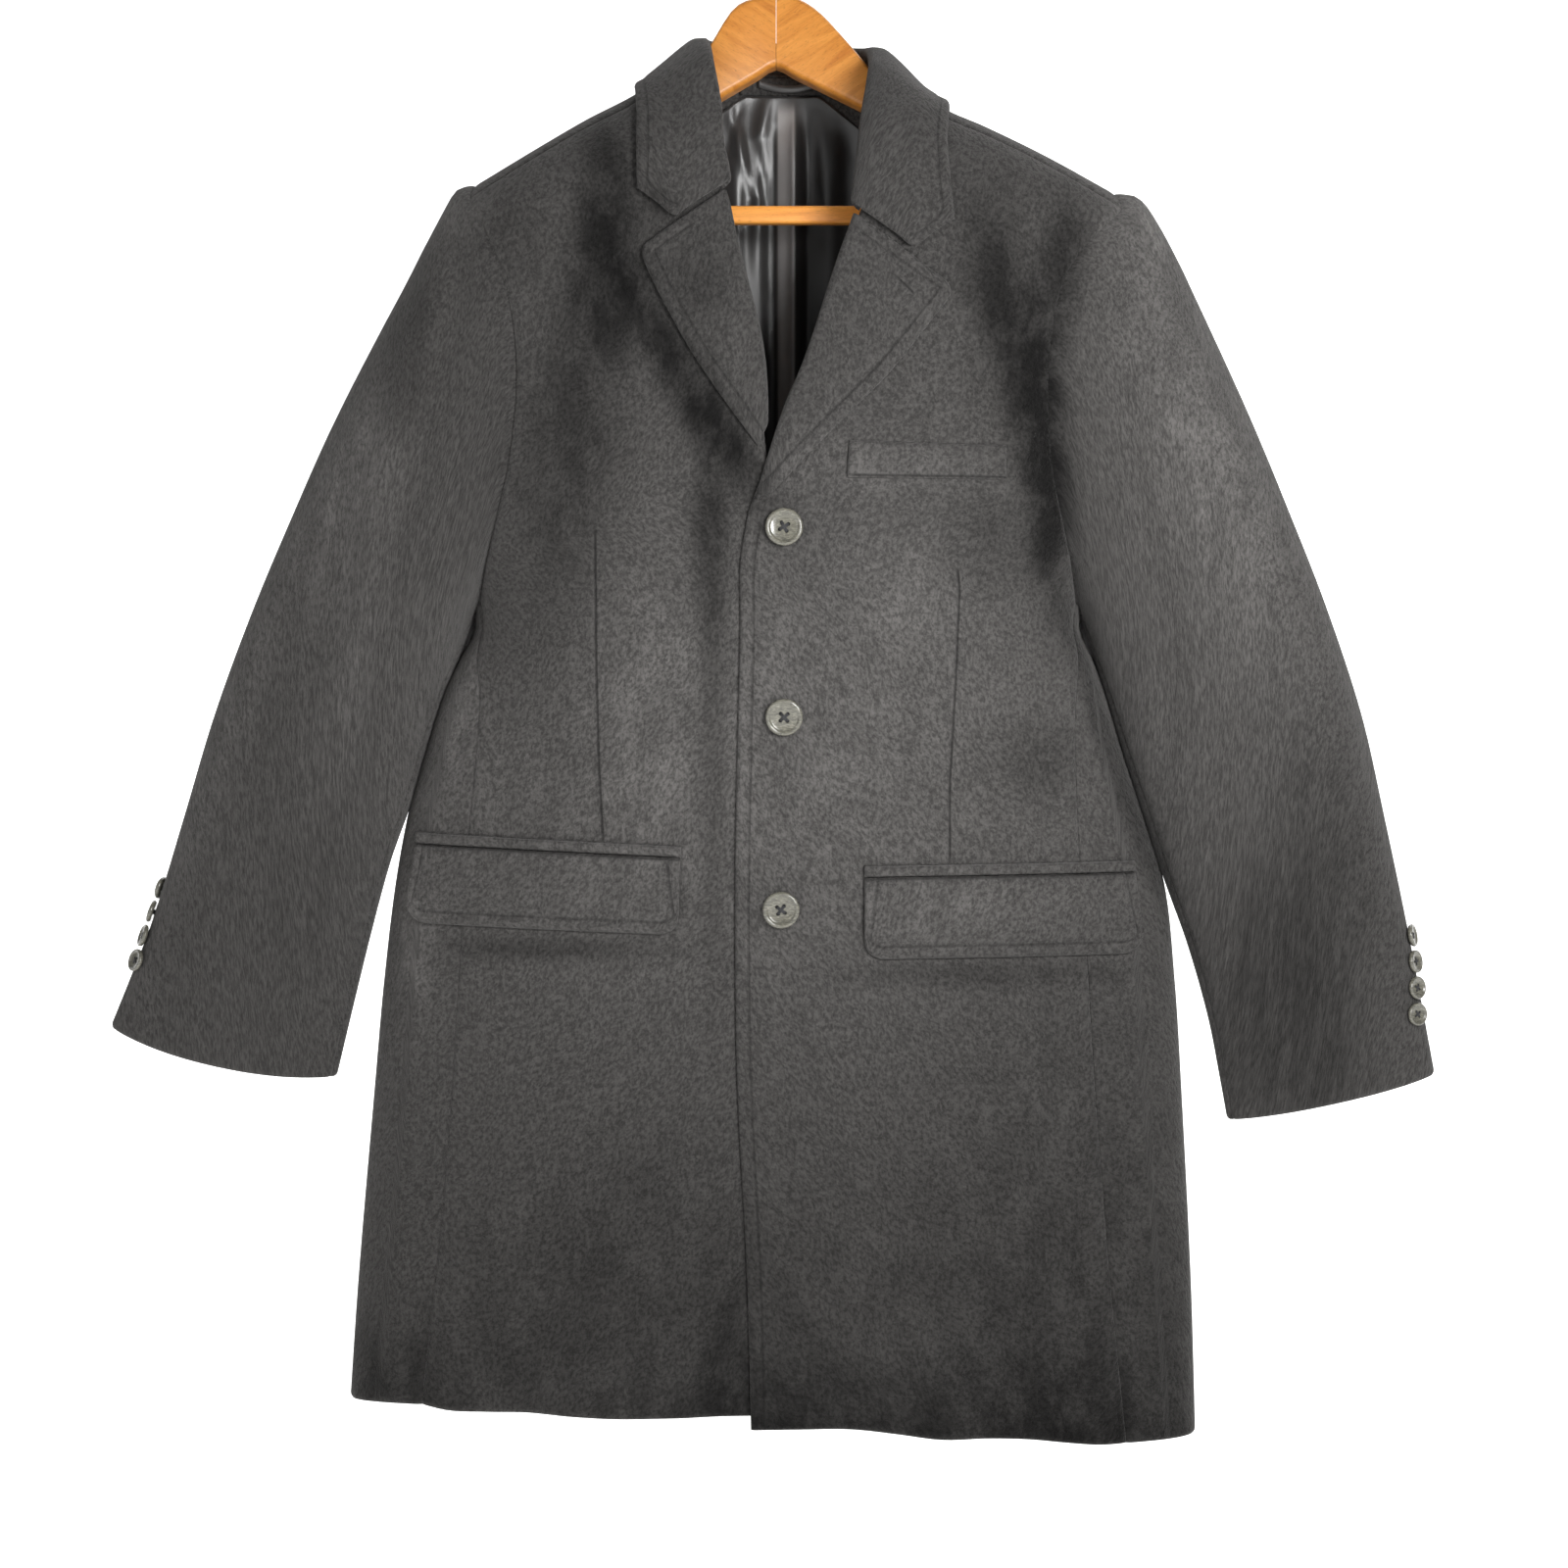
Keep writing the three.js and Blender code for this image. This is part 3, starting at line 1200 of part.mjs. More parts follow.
function loopGrid() {
  const columns = 10;
  return [0, 1].map((down) => Array.from({ length: columns + 1 }, (_, c) => {
    const t = c / columns;
    const x = mix(hangingLoop.minX, hangingLoop.maxX, t);
    const sag = hangingLoop.sag * Math.sin(Math.PI * t);
    return bodyPoint(x, hangingLoop.top - sag - hangingLoop.height * down, 1);
  }));
}

const loopBase = facingBase - seamGap - hangingLoop.wall;
addPart('hanging_loop', bodyWall(rightSide, loopGrid(), loopBase, hangingLoop.wall), materials.lining);

// Hanger

function armCentreY(x) {
  const level = shoulderHeight(x);
  return middleY(x, level) - midDepth + midDepth * smooth(0, 60, Math.abs(x));
}

function armGeometry(sections) {
  const half = armThickness / 2;
  const rings = sections.map((section) => {
    const middle = armCentreY(section.x);
    const chamfer = Math.min(armChamfer, (section.top - section.bottom) / 4);
    return [
      [-half + chamfer, section.top],
      [half - chamfer, section.top],
      [half, section.top - chamfer],
      [half, section.bottom + chamfer],
      [half - chamfer, section.bottom],
      [-half + chamfer, section.bottom],
      [-half, section.bottom + chamfer],
      [-half, section.top - chamfer],
    ].map(([y, z]) => new THREE.Vector3(section.x, middle + y, z));
  });
  const sides = rings[0].length;
  const positions = rings.flat();
  const triangles = [];
  for (let r = 0; r < rings.length - 1; r += 1) {
    for (let c = 0; c < sides; c += 1) {
      const next = (c + 1) % sides;
      const [a, b] = [r * sides + c, r * sides + next];
      triangles.push([a, b, b + sides], [a, b + sides, a + sides]);
    }
  }
  const lastRing = (rings.length - 1) * sides;
  for (let c = 1; c < sides - 1; c += 1) {
    triangles.push([0, c + 1, c], [lastRing, lastRing + c, lastRing + c + 1]);
  }
  return solidGeometry(positions, triangles);
}

function armHalf(sign) {
  const half = armSections.filter((section) => section.x * sign > 0);
  const middle = armSections.find((section) => section.x === 0);
  const mitre = { ...middle, x: (sign * seamGap) / 2 };
  return sign < 0 ? [...half, mitre] : [mitre, ...half];
}

addPart('hanger_arm_right', armGeometry(armHalf(-1)), materials.wood);
addPart('hanger_arm_left', armGeometry(armHalf(1)), materials.wood);

// The bar's ends lie against the lower edges of the arms
function barGeometry() {
  const ends = [-1, 1].map((sign) => {
    const lower = armSections.filter((section) => section.x * sign > 0);
    lower.splice(sign < 0 ? 0 : lower.length - 1, 1);
    const heights = [bar.top, bar.top - bar.height];
    return heights.map((z) => sample(lower, 'bottom', z + seamGap * 1.5).x - sign * seamGap);
  });
  const bottom = bar.top - bar.height;
  const outline = new THREE.Shape([
    new THREE.Vector2(ends[0][1], bottom),
    new THREE.Vector2(ends[1][1], bottom),
    new THREE.Vector2(ends[1][0], bar.top),
    new THREE.Vector2(ends[0][0], bar.top),
  ]);
  const geometry = new THREE.ExtrudeGeometry(outline, { depth: bar.depth, bevelEnabled: false });
  geometry.rotateX(Math.PI / 2);
  geometry.translate(0, bar.y + bar.depth / 2, 0);
  return geometry;
}

addPart('hanger_bar', barGeometry(), materials.wood);

function hookPath() {
  const radius = hookInnerRadius + hookWire / 2;
  const centreZ = -hookInnerRadius;
  const points = [];
  for (let degrees = hookTurn.from; degrees >= hookTurn.to; degrees -= hookTurn.step) {
    const angle = (degrees * Math.PI) / 180;
    points.push(new THREE.Vector3(radius * Math.cos(angle), 0, centreZ + radius * Math.sin(angle)));
  }
  const woodTop = armSections.find((section) => section.x === 0).top;
  points.push(new THREE.Vector3(hookNeck.x, 0, centreZ - radius - hookNeck.drop));
  points.push(new THREE.Vector3(0, 0, centreZ - radius - hookNeck.length));
  points.push(new THREE.Vector3(0, 0, woodTop + seamGap));
  return new THREE.CatmullRomCurve3(points, false, 'centripetal');
}

const wireSection = new THREE.Shape();
wireSection.absarc(0, 0, hookWire / 2, 0, Math.PI * 2);
const hookGeometry = new THREE.ExtrudeGeometry(wireSection, {
  curveSegments: 5,
  steps: 44,
  bevelEnabled: false,
  extrudePath: hookPath(),
});
addPart('hanger_hook', hookGeometry, materials.steel);

export default group;
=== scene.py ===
import math

import bmesh
import bpy
import numpy as np
from mathutils import Matrix, Vector


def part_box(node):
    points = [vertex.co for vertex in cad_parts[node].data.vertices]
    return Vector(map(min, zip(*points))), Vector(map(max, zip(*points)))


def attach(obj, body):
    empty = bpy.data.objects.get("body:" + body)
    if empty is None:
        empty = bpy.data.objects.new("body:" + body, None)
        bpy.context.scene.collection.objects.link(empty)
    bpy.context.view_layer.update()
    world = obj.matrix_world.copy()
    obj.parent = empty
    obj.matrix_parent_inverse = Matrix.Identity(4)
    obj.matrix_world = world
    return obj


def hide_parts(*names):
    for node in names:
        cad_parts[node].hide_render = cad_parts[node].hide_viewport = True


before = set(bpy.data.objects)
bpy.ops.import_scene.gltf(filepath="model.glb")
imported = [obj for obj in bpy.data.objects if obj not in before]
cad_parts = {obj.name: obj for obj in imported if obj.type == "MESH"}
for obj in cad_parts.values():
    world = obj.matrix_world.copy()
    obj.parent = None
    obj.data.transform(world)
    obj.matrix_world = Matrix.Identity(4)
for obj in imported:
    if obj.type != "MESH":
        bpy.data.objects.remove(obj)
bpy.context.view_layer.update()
print("packed model loaded")

mm = 0.001  # the tables below are in millimetres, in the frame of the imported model


# reading tables and blending
def mixed(a, b, t):
    return a + (b - a) * t


def eased(low, high, value):
    t = np.clip((value - low) / (high - low), 0, 1)
    return t * t * (3 - 2 * t)


def read(rows, at):
    # every column of a table at values of its first column, along a smooth curve
    table = np.asarray(rows, float)
    keys = table[:, 0]
    way = 1 if keys[-1] > keys[0] else -1
    flat = np.asarray(at, float).ravel()
    last = len(keys) - 1
    i = np.clip(np.searchsorted(way * keys, way * flat) - 1, 0, last - 1)
    before, here, there, after = np.maximum(i - 1, 0), i, i + 1, np.minimum(i + 2, last)
    run = (keys[there] - keys[here])[:, None]
    t = np.clip((flat[:, None] - keys[here][:, None]) / run, 0, 1)
    leave = (table[there] - table[before]) / (keys[there] - keys[before])[:, None] * run
    arrive = (table[after] - table[here]) / (keys[after] - keys[here])[:, None] * run
    made = table[here] * (1 + 2 * t) * (1 - t) ** 2 + table[there] * t * t * (3 - 2 * t)
    made = made + leave * t * (1 - t) ** 2 + arrive * t * t * (t - 1)
    return made.reshape(np.shape(at) + (table.shape[1],))


def arch(t, power=1.0):
    # rises from 0 to 1 and falls back as t goes from 0 to 1
    return np.maximum(0, np.sin(np.pi * t)) ** power


def unit(vectors):
    return vectors / np.maximum(np.linalg.norm(vectors, axis=-1, keepdims=True), 1e-9)


def dot(a, b):
    return (a * b).sum(-1)


def run(grid, axis):
    # how far each point of a grid lies along its row or column
    steps = np.linalg.norm(np.diff(grid, axis=axis), axis=-1)
    start = np.zeros_like(np.take(steps, [0], axis=axis))
    return np.concatenate([start, np.cumsum(steps, axis=axis)], axis=axis)


def finer(grid, shares, axis, inner=0):
    # a smooth surface through a coarse grid; inner leaves out columns that only steer the ends
    rows = np.moveaxis(grid, axis, 0)
    steps = np.linalg.norm(np.diff(rows, axis=0), axis=-1).mean(axis=1)
    keys = np.concatenate([[0], np.cumsum(steps)])
    low, high = keys[inner], keys[len(keys) - 1 - inner]
    flat = np.concatenate([keys[:, None], rows.reshape(len(keys), -1)], axis=1)
    made = read(flat, mixed(low, high, np.asarray(shares)))[:, 1:]
    return np.moveaxis(made.reshape((len(shares),) + rows.shape[1:]), 0, axis)


def shares(length, step, start=True, end=True):
    # places along a length, closer together next to a seam or an edge
    near = [0.8, 1.8, 3.2, 5.2] if step > 3 else [0.6, 1.4, 2.6]
    count = max(2, int(round(length / step)))
    places = list(np.linspace(0, length, count + 1))
    low = near[-1] + step * 0.6 if start else 0
    high = length - near[-1] - step * 0.6 if end else length
    places = [p for p in places if low <= p <= high or p in (0, length)]
    places += near if start else []
    places += [length - n for n in near] if end else []
    return np.array(sorted(places)) / length


# the hung body
body = {
    "roundness": 2.4,
    "shoulderRound": 62,
    "middle": -6,
    "lean": 24,
    "leanWidth": 215,
    "wall": 2.5,
    "turns": [-39.4, -27, -13, 0, 18, 38, 58, 80],
}
bodyLevels = [  # z, minX, maxX, front, back
    (-60, -290, 298, 46, 44), (-150, -283, 291, 52, 48), (-196, -268, 276, 62, 54),
    (-270, -248, 257, 71, 60), (-367, -228, 232, 79, 62), (-440, -213, 215, 80, 60),
    (-494, -204, 206, 77, 57), (-520, -216, 216, 74, 54), (-542, -225.8, 224, 71, 52),
    (-575, -236.3, 234, 66, 49), (-613, -248, 246.8, 61, 46), (-668, -258.6, 263.8, 56, 45),
    (-735, -266.7, 271.2, 53, 46), (-802, -272.7, 275.4, 51, 47), (-936, -284.1, 282.1, 50, 49),
    (-1046, -291.4, 285.4, 50, 50),
]
shoulderLine = [  # x, z
    (-290, -257), (-205, -203.5), (-130, -155), (-95, -135.5), (-62, -112.5), (8, -78),
    (78, -124), (114, -146.2), (140, -158.5), (180, -180), (234, -212.5), (300, -250.5),
]
skirtFolds = [  # face, x, width, top, bottom, depth
    (-1, -165, 34, -700, -1040, 4), (-1, -95, 26, -820, -1040, -3), (-1, 105, 30, -760, -1040, 3),
    (-1, 180, 34, -700, -1040, -3), (1, -170, 40, -560, -1040, 5), (1, -70, 36, -640, -1040, -4),
    (1, 85, 34, -600, -1040, 4), (1, 175, 40, -560, -1040, -4),
]
rightSide = {
    "name": "right", "sign": -1, "tipX": -203, "backTipX": -192,
    "neck": [10, 9, 8, 7, 6, 5],
    "frontArmhole": [  # x, z, meetZ
        (-199, -226, -140), (-190.5, -240, -156), (-181, -262, -180), (-173, -292, -208),
        (-169.3, -325, -244), (-170.5, -356, -279), (-176, -393, -317), (-185, -429, -357),
        (-193, -456, -392), (-199, -478, -420),
    ],
    "backArmhole": [  # x, z, meetZ
        (-185, -276, -184), (-179.5, -308, -220), (-178, -342, -262), (-179.5, -388, -318),
        (-183, -425, -372), (-188, -454, -404), (-192, -476, -432),
    ],
    "frontEdge": [  # z, x
        (-124, -60.5), (-140, -53.5), (-160, -46.5), (-185, -39), (-208, -33), (-224, -28),
        (-254, -22.8), (-292, -12.5), (-329, -5.5), (-360, -4.5), (-388, -4), (-410, 6), (-438, 21),
        (-480, 29), (-560, 30), (-800, 30), (-924, 32), (-1022, 35),
    ],
    "frontSeam": [  # z, x
        (-478, -199), (-500, -200), (-520, -198), (-540, -197.2), (-562, -197.8), (-596, -200.5),
        (-640, -205), (-699, -210), (-791, -215.5), (-893, -223.5), (-939, -228.8), (-1016, -237),
    ],
    "backSeam": [  # z, x
        (-476, -192), (-540, -184), (-640, -186), (-791, -196), (-1020, -214),
    ],
    "frontHem": [  # x, z
        (-292, -1013), (-264, -1016.5), (-237, -1016.3), (-212, -1019.6), (-170, -1017.6),
        (-107, -1023), (-22, -1019.5), (36, -1021),
    ],
}
leftSide = {
    "name": "left", "sign": 1, "tipX": 229, "backTipX": 213,
    "neck": [10, 11, 12, 13, 14, 15],
    "frontArmhole": [  # x, z, meetZ
        (219.5, -233, -150), (206.5, -245, -165), (192, -265, -188), (182.8, -292, -214),
        (179, -326, -247), (179.7, -360, -281), (183.5, -397, -320), (191, -430, -356),
        (197.5, -456, -388), (202, -480, -424),
    ],
    "backArmhole": [  # x, z, meetZ
        (201, -278, -184), (193, -309, -220), (189.5, -343, -262), (189.5, -389, -318),
        (191.5, -426, -372), (194.5, -455, -404), (197, -479, -432),
    ],
    "frontEdge": [  # z, x
        (-136, 77.5), (-150, 73), (-170, 67), (-195, 60.5), (-225, 51.5), (-245, 43.8),
        (-265, 37.3), (-290, 29.6), (-323, 18.8), (-353, 6), (-378, -2.5), (-409, -11.8),
        (-427, -18.7), (-446, -22.5), (-504, -23.2), (-562, -24.7), (-666, -26.8), (-795, -25.6),
        (-924, -19.2), (-1029, -16.5),
    ],
    "frontSeam": [  # z, x
        (-480, 202), (-504, 202.5), (-521, 200.8), (-541, 199.2), (-567, 198.4), (-592, 198.7),
        (-643, 201.4), (-721, 207.5), (-806, 213), (-882, 219.1), (-924, 222.4), (-1042, 234.5),
    ],
    "backSeam": [  # z, x
        (-479, 197), (-540, 188), (-640, 188), (-791, 197), (-1040, 212),
    ],
    "frontHem": [  # x, z
        (-18, -1028.3), (31, -1027.7), (66, -1028.5), (95, -1034.6), (153, -1036.2), (206, -1041.7),
        (259, -1043.8), (286, -1038),
    ],
}
centreBack = [  # z, x
    (-107, 8), (-500, 3), (-1026, -2),
]
backHem = [  # x, z
    (-292, -1013), (-200, -1020), (-100, -1018), (0, -1026), (90, -1030), (180, -1038),
    (286, -1038),
]

# collar
collarRoll = [  # rollX, rollY, rollZ, neckX, neckDrop
    (-32.5, -75, -208.5, -33, -112), (-34, -73, -196, -36, -97), (-36.5, -69, -178, -41, -76),
    (-40, -61, -153, -48, -48), (-44, -47, -125, -55, -26), (-48, -28, -104, -60, -12),
    (-49, -8, -94, -62, -2), (-46, 11, -90, -58, 6), (-33, 28, -87, -43, 13),
    (-14, 39, -85, -20, 21), (8, 43, -84, 8, 29), (30, 39, -86, 35, 21), (50, 28, -90, 60, 13),
    (62, 11, -95, 74, 6), (66, -8, -100, 78.5, -2), (66, -28, -111, 77, -12),
    (64.5, -45, -128, 73, -26), (60.5, -60, -158, 66.5, -48), (57.5, -68, -182, 62, -78),
    (55, -73, -205, 56, -104), (52, -77, -223.5, 51, -125),
]
collarEdge = [  # edgeX, edgeY, edgeZ, dip
    (-90.5, -79, -212, 20), (-91, -77, -194, 8), (-91.5, -72, -176, 1), (-92, -62, -158, 0),
    (-93, -46, -143, 0), (-94, -26, -134, 0), (-95, -6, -129, 0), (-93, 17, -132, 0),
    (-76, 38, -136, 0), (-40, 48, -140, 0), (8, 51, -143, 0), (58, 48, -143, 0), (94, 38, -143, 0),
    (112, 17, -143, 0), (114.5, -6, -142, 0), (114, -26, -148, 0), (113, -46, -160, 0),
    (112.5, -66, -178, 0), (113.5, -74, -197, 1), (115, -80, -216, 8), (116.5, -83, -233, 22),
]


def level(z):
    row = read(bodyLevels, z)
    return row[..., 1], row[..., 2], row[..., 3], row[..., 4]


def sideways(x, z):
    low, high = level(z)[:2]
    return np.minimum(1, np.abs(x - (low + high) / 2) / ((high - low) / 2))


def shoulderHeight(x):
    return read(shoulderLine, x)[..., 1]


def middleY(x, z):
    return body["middle"] - body["lean"] * (x / body["leanWidth"]) ** 2 * eased(-520, -220, z)


def overShoulder(x, z):
    return np.maximum(0, 1 - (shoulderHeight(x) - z) / body["shoulderRound"])


def bodyField(points):
    # zero on the outer face of the hung body, negative inside it
    x, y, z = points[..., 0], points[..., 1], points[..., 2]
    front, back = level(z)[2:]
    power = body["roundness"]
    fromMiddle = y - middleY(x, z)
    through = np.abs(fromMiddle) / np.where(fromMiddle < 0, front, back)
    return through**power - (1 - sideways(x, z) ** power) * (1 - overShoulder(x, z) ** power)


def bodySlope(points, reach=0.2):
    slope = np.zeros_like(points)
    for axis in range(3):
        step = np.zeros(3)
        step[axis] = reach
        slope[..., axis] = (bodyField(points + step) - bodyField(points - step)) / (2 * reach)
    return slope


def bodyPoint(x, z, face):
    x, z = np.broadcast_arrays(np.asarray(x, float), np.asarray(z, float))
    front, back = level(z)[2:]
    power = body["roundness"]
    free = (1 - sideways(x, z) ** power) * (1 - overShoulder(x, z) ** power)
    depth = np.where(face < 0, front, back) * np.maximum(0, free) ** (1 / power)
    return np.stack([x, middleY(x, z) + face * depth, z], axis=-1)


def shoulderPoint(x, turn):
    # over the shoulder: 0 degrees on the shoulder line, negative in front
    x, turn = np.broadcast_arrays(np.asarray(x, float), np.asarray(turn, float))
    drop = 1 - np.cos(np.radians(np.abs(turn))) ** (2 / body["roundness"])
    z = shoulderHeight(x) - body["shoulderRound"] * drop
    return bodyPoint(x, z, np.where(turn < 0, -1, 1))


def shoulderTurn(drop):
    ratio = max(0, 1 - abs(drop) / body["shoulderRound"])
    return math.copysign(math.degrees(math.acos(ratio ** (body["roundness"] / 2))), drop)


def onBody(points, clearance=0, both=True, rounds=6, most=4):
    # settles points on the body's outer face, or only keeps them off it
    points = points.copy()
    for _ in range(rounds):
        slope = bodySlope(points)
        size = np.linalg.norm(slope, axis=-1, keepdims=True)
        short = clearance - bodyField(points)[..., None] / np.maximum(size, 1e-6)
        short = np.clip(short, -most if both else 0, most)
        points += slope / np.maximum(size, 1e-6) * short
    return points


def skirtDepth(points, face):
    depth = np.zeros(points.shape[:-1])
    for side, x, width, top, bottom, deep in skirtFolds:
        spread = np.exp(-(((points[..., 0] - x) / width) ** 2))
        depth += np.where(face == side, deep * spread * eased(top, bottom, points[..., 2]), 0)
    return depth


overlap = {"lift": 3.6, "across": (92, 42), "down": (-300, -375)}


def overlapLift(side, points):
    # the wearer's left front lies on the right one, lifted clear of it near its edge
    if side["sign"] < 0:
        return np.zeros(points.shape[:-1])
    near = eased(*overlap["across"], points[..., 0]) * eased(*overlap["down"], points[..., 2])
    return overlap["lift"] * near


# soft creases that the hanging cloth shows, along a line each, the same kind behind as in front
creases = [  # face, x, z, endX, endZ, width, depth
    (-1, -150, -225, -120, -420, 26, 3.4), (-1, -100, -215, -60, -430, 17, -2.6),
    (-1, -176, -300, -196, -470, 12, 2.4), (-1, -205, -520, -225, -690, 22, 2.2),
    (-1, 130, -225, 165, -400, 20, 2.6), (-1, 168, -310, 178, -470, 13, -2.4),
    (-1, 190, -500, 196, -650, 18, 2.4), (-1, 60, -430, 130, -560, 24, 1.6),
    (-1, -60, -470, -90, -640, 26, 1.4), (-1, -40, -720, -60, -1015, 30, 1.8),
    (-1, 70, -740, 60, -1020, 34, 1.8), (-1, -30, -600, -10, -1010, 12, -1.2),
    (1, -120, -220, -170, -420, 24, 3.2), (1, 130, -230, 175, -430, 24, 3.2),
    (1, -60, -200, -70, -420, 26, -2.2), (1, 70, -210, 80, -430, 26, -2.2),
    (1, -185, -470, -150, -640, 20, 3.0), (1, 190, -470, 150, -650, 20, 3.0),
    (1, -20, -520, -30, -800, 30, 2.2), (1, 30, -560, 34, -860, 26, 1.8),
]


def creaseDepth(points, face):
    depth = np.zeros(points.shape[:-1])
    for side, x, z, endX, endZ, width, deep in creases:
        lineX, lineZ = endX - x, endZ - z
        length = lineX**2 + lineZ**2
        offX, offZ = points[..., 0] - x, points[..., 2] - z
        along = np.clip((offX * lineX + offZ * lineZ) / length, 0, 1)
        away = np.hypot(offX - along * lineX, offZ - along * lineZ)
        swell = np.sin(np.pi * np.clip(along * 0.94 + 0.03, 0, 1)) ** 0.8
        depth += np.where(face == side, deep * swell * np.exp(-((away / width) ** 2)), 0)
    return depth


def laidOut(side, points, out, creased=1):
    # moves points out along the body, with the folds and the lift of the upper front
    slope = bodySlope(points)
    face = np.where(points[..., 1] < middleY(points[..., 0], points[..., 2]), -1, 1)
    lift = np.where(face < 0, overlapLift(side, points), 0)
    out = out + creaseDepth(points, face) * creased
    moved = points + unit(slope) * np.asarray(out)[..., None]
    moved[..., 1] += face * skirtDepth(points, face) - lift
    return moved


# cutting the panels
seamShares = 1 - (1 - np.arange(10) / 9) ** 1.2
lowerShares = (np.arange(1, 14) / 13) ** 1.12


def lowerPanel(top, places, inner, seam, hem, face):
    z0, meet = top[1:]
    rows = []
    for down in lowerShares:
        innerX = read(inner, mixed(meet, inner[-1][0], down))[1]
        seamX = read(seam, mixed(z0, seam[-1][0], down))[1]
        x = mixed(innerX, seamX, places)
        end = read(hem, x)[:, 1]
        end[-1] = seam[-1][0]
        rows.append(bodyPoint(x, mixed(mixed(meet, z0, places), end, down), face))
    return rows


def frontPanel(side):
    # coarse rows from the shoulder seam down; the edge draws back inside the roll of the lapel
    edge = side["frontEdge"]
    tuck = 4.5 * side["sign"]
    neckX = edge[0][1]
    rows = [shoulderPoint(mixed(neckX, side["tipX"], seamShares), body["turns"][0])]
    for i, (x, z, meet) in enumerate(side["frontArmhole"]):
        edgeX = read(edge, meet)[1]
        follow = max(0, 1 - (i + 1) / 4)
        inside = edgeX + tuck * eased(-425, -340, meet)
        line = mixed(inside, x, seamShares)
        ends = shoulderHeight(np.array([edgeX, x]))
        bow = shoulderHeight(line) - mixed(ends[0], ends[1], seamShares)
        rows.append(bodyPoint(line, mixed(meet, z, seamShares) + bow * follow, -1))
    corner = len(rows) - 1
    top = side["frontArmhole"][-1]
    rows += lowerPanel(top, seamShares, edge, side["frontSeam"], side["frontHem"], -1)
    return np.array(rows), corner


def backPanel(side):
    neck = [collarRoll[i] for i in side["neck"]]
    tops = [(row[3], shoulderTurn(row[4])) for row in neck[:-1]]
    seam = mixed(side["frontEdge"][0][1], side["tipX"], seamShares)
    tops = np.array(tops + [(x, body["turns"][0]) for x in seam])
    places = np.linspace(0, 1, len(tops))
    first, last = body["turns"][0], body["turns"][-1]
    rows = []
    for turn in body["turns"]:
        settle = (turn - first) / (last - first)
        x = mixed(tops[:, 0], mixed(centreBack[0][1], side["backTipX"], places), settle)
        rows.append(shoulderPoint(x, mixed(tops[:, 1], last, settle)))
    for x, z, meet in side["backArmhole"]:
        innerX = read(centreBack, meet)[1]
        rows.append(bodyPoint(mixed(innerX, x, places), mixed(meet, z, places), 1))
    corner = len(rows) - 1
    top = side["backArmhole"][-1]
    rows += lowerPanel(top, places, centreBack, side["backSeam"], backHem, 1)
    return np.array(rows), corner


def sideAngle(x, z):
    return np.arcsin(sideways(x, z) ** (body["roundness"] / 2))


def sidePanel(side):
    columns = np.linspace(0, 1, 7)
    front, back = side["frontArmhole"][-1], side["backArmhole"][-1]
    dip = (494 + front[1]) * np.sin(np.pi * columns) ** 0.8
    top = mixed(front[1], back[1], columns) - dip
    power = 2 / body["roundness"]
    rows = []
    for down in [0, *lowerShares]:
        end = mixed(side["frontSeam"][-1][0], side["backSeam"][-1][0], columns)
        z = mixed(top, end, down)
        start = sideAngle(read(side["frontSeam"], z)[:, 1], z)
        stop = np.pi - sideAngle(read(side["backSeam"], z)[:, 1], z)
        angle = mixed(start, stop, columns)
        low, high, ahead, behind = level(z)
        x = (low + high) / 2 + side["sign"] * (high - low) / 2 * np.sin(angle) ** power
        depth = np.where(np.cos(angle) > 0, -ahead, behind) * np.abs(np.cos(angle)) ** power
        rows.append(np.stack([x, middleY(x, z) + depth, z], axis=-1))
    return np.array(rows)


# materials
class Wave:
    # one socket of a material, so that shader maths reads as plain expressions
    def __init__(self, finish, socket):
        self.finish, self.socket = finish, socket

    def joined(self, operation, *others):
        return self.finish.node("ShaderNodeMath", {"operation": operation}, [self, *others])

    def swapped(self, operation, other):
        return self.finish.node("ShaderNodeMath", {"operation": operation}, [other, self])

    def __add__(self, other):
        return self.joined("ADD", other)

    def __sub__(self, other):
        return self.joined("SUBTRACT", other)

    def __mul__(self, other):
        return self.joined("MULTIPLY", other)

    def __pow__(self, other):
        return self.joined("POWER", other)

    def __rsub__(self, other):
        return self.swapped("SUBTRACT", other)

    def __rpow__(self, other):
        return self.swapped("POWER", other)

    __radd__ = __add__
    __rmul__ = __mul__


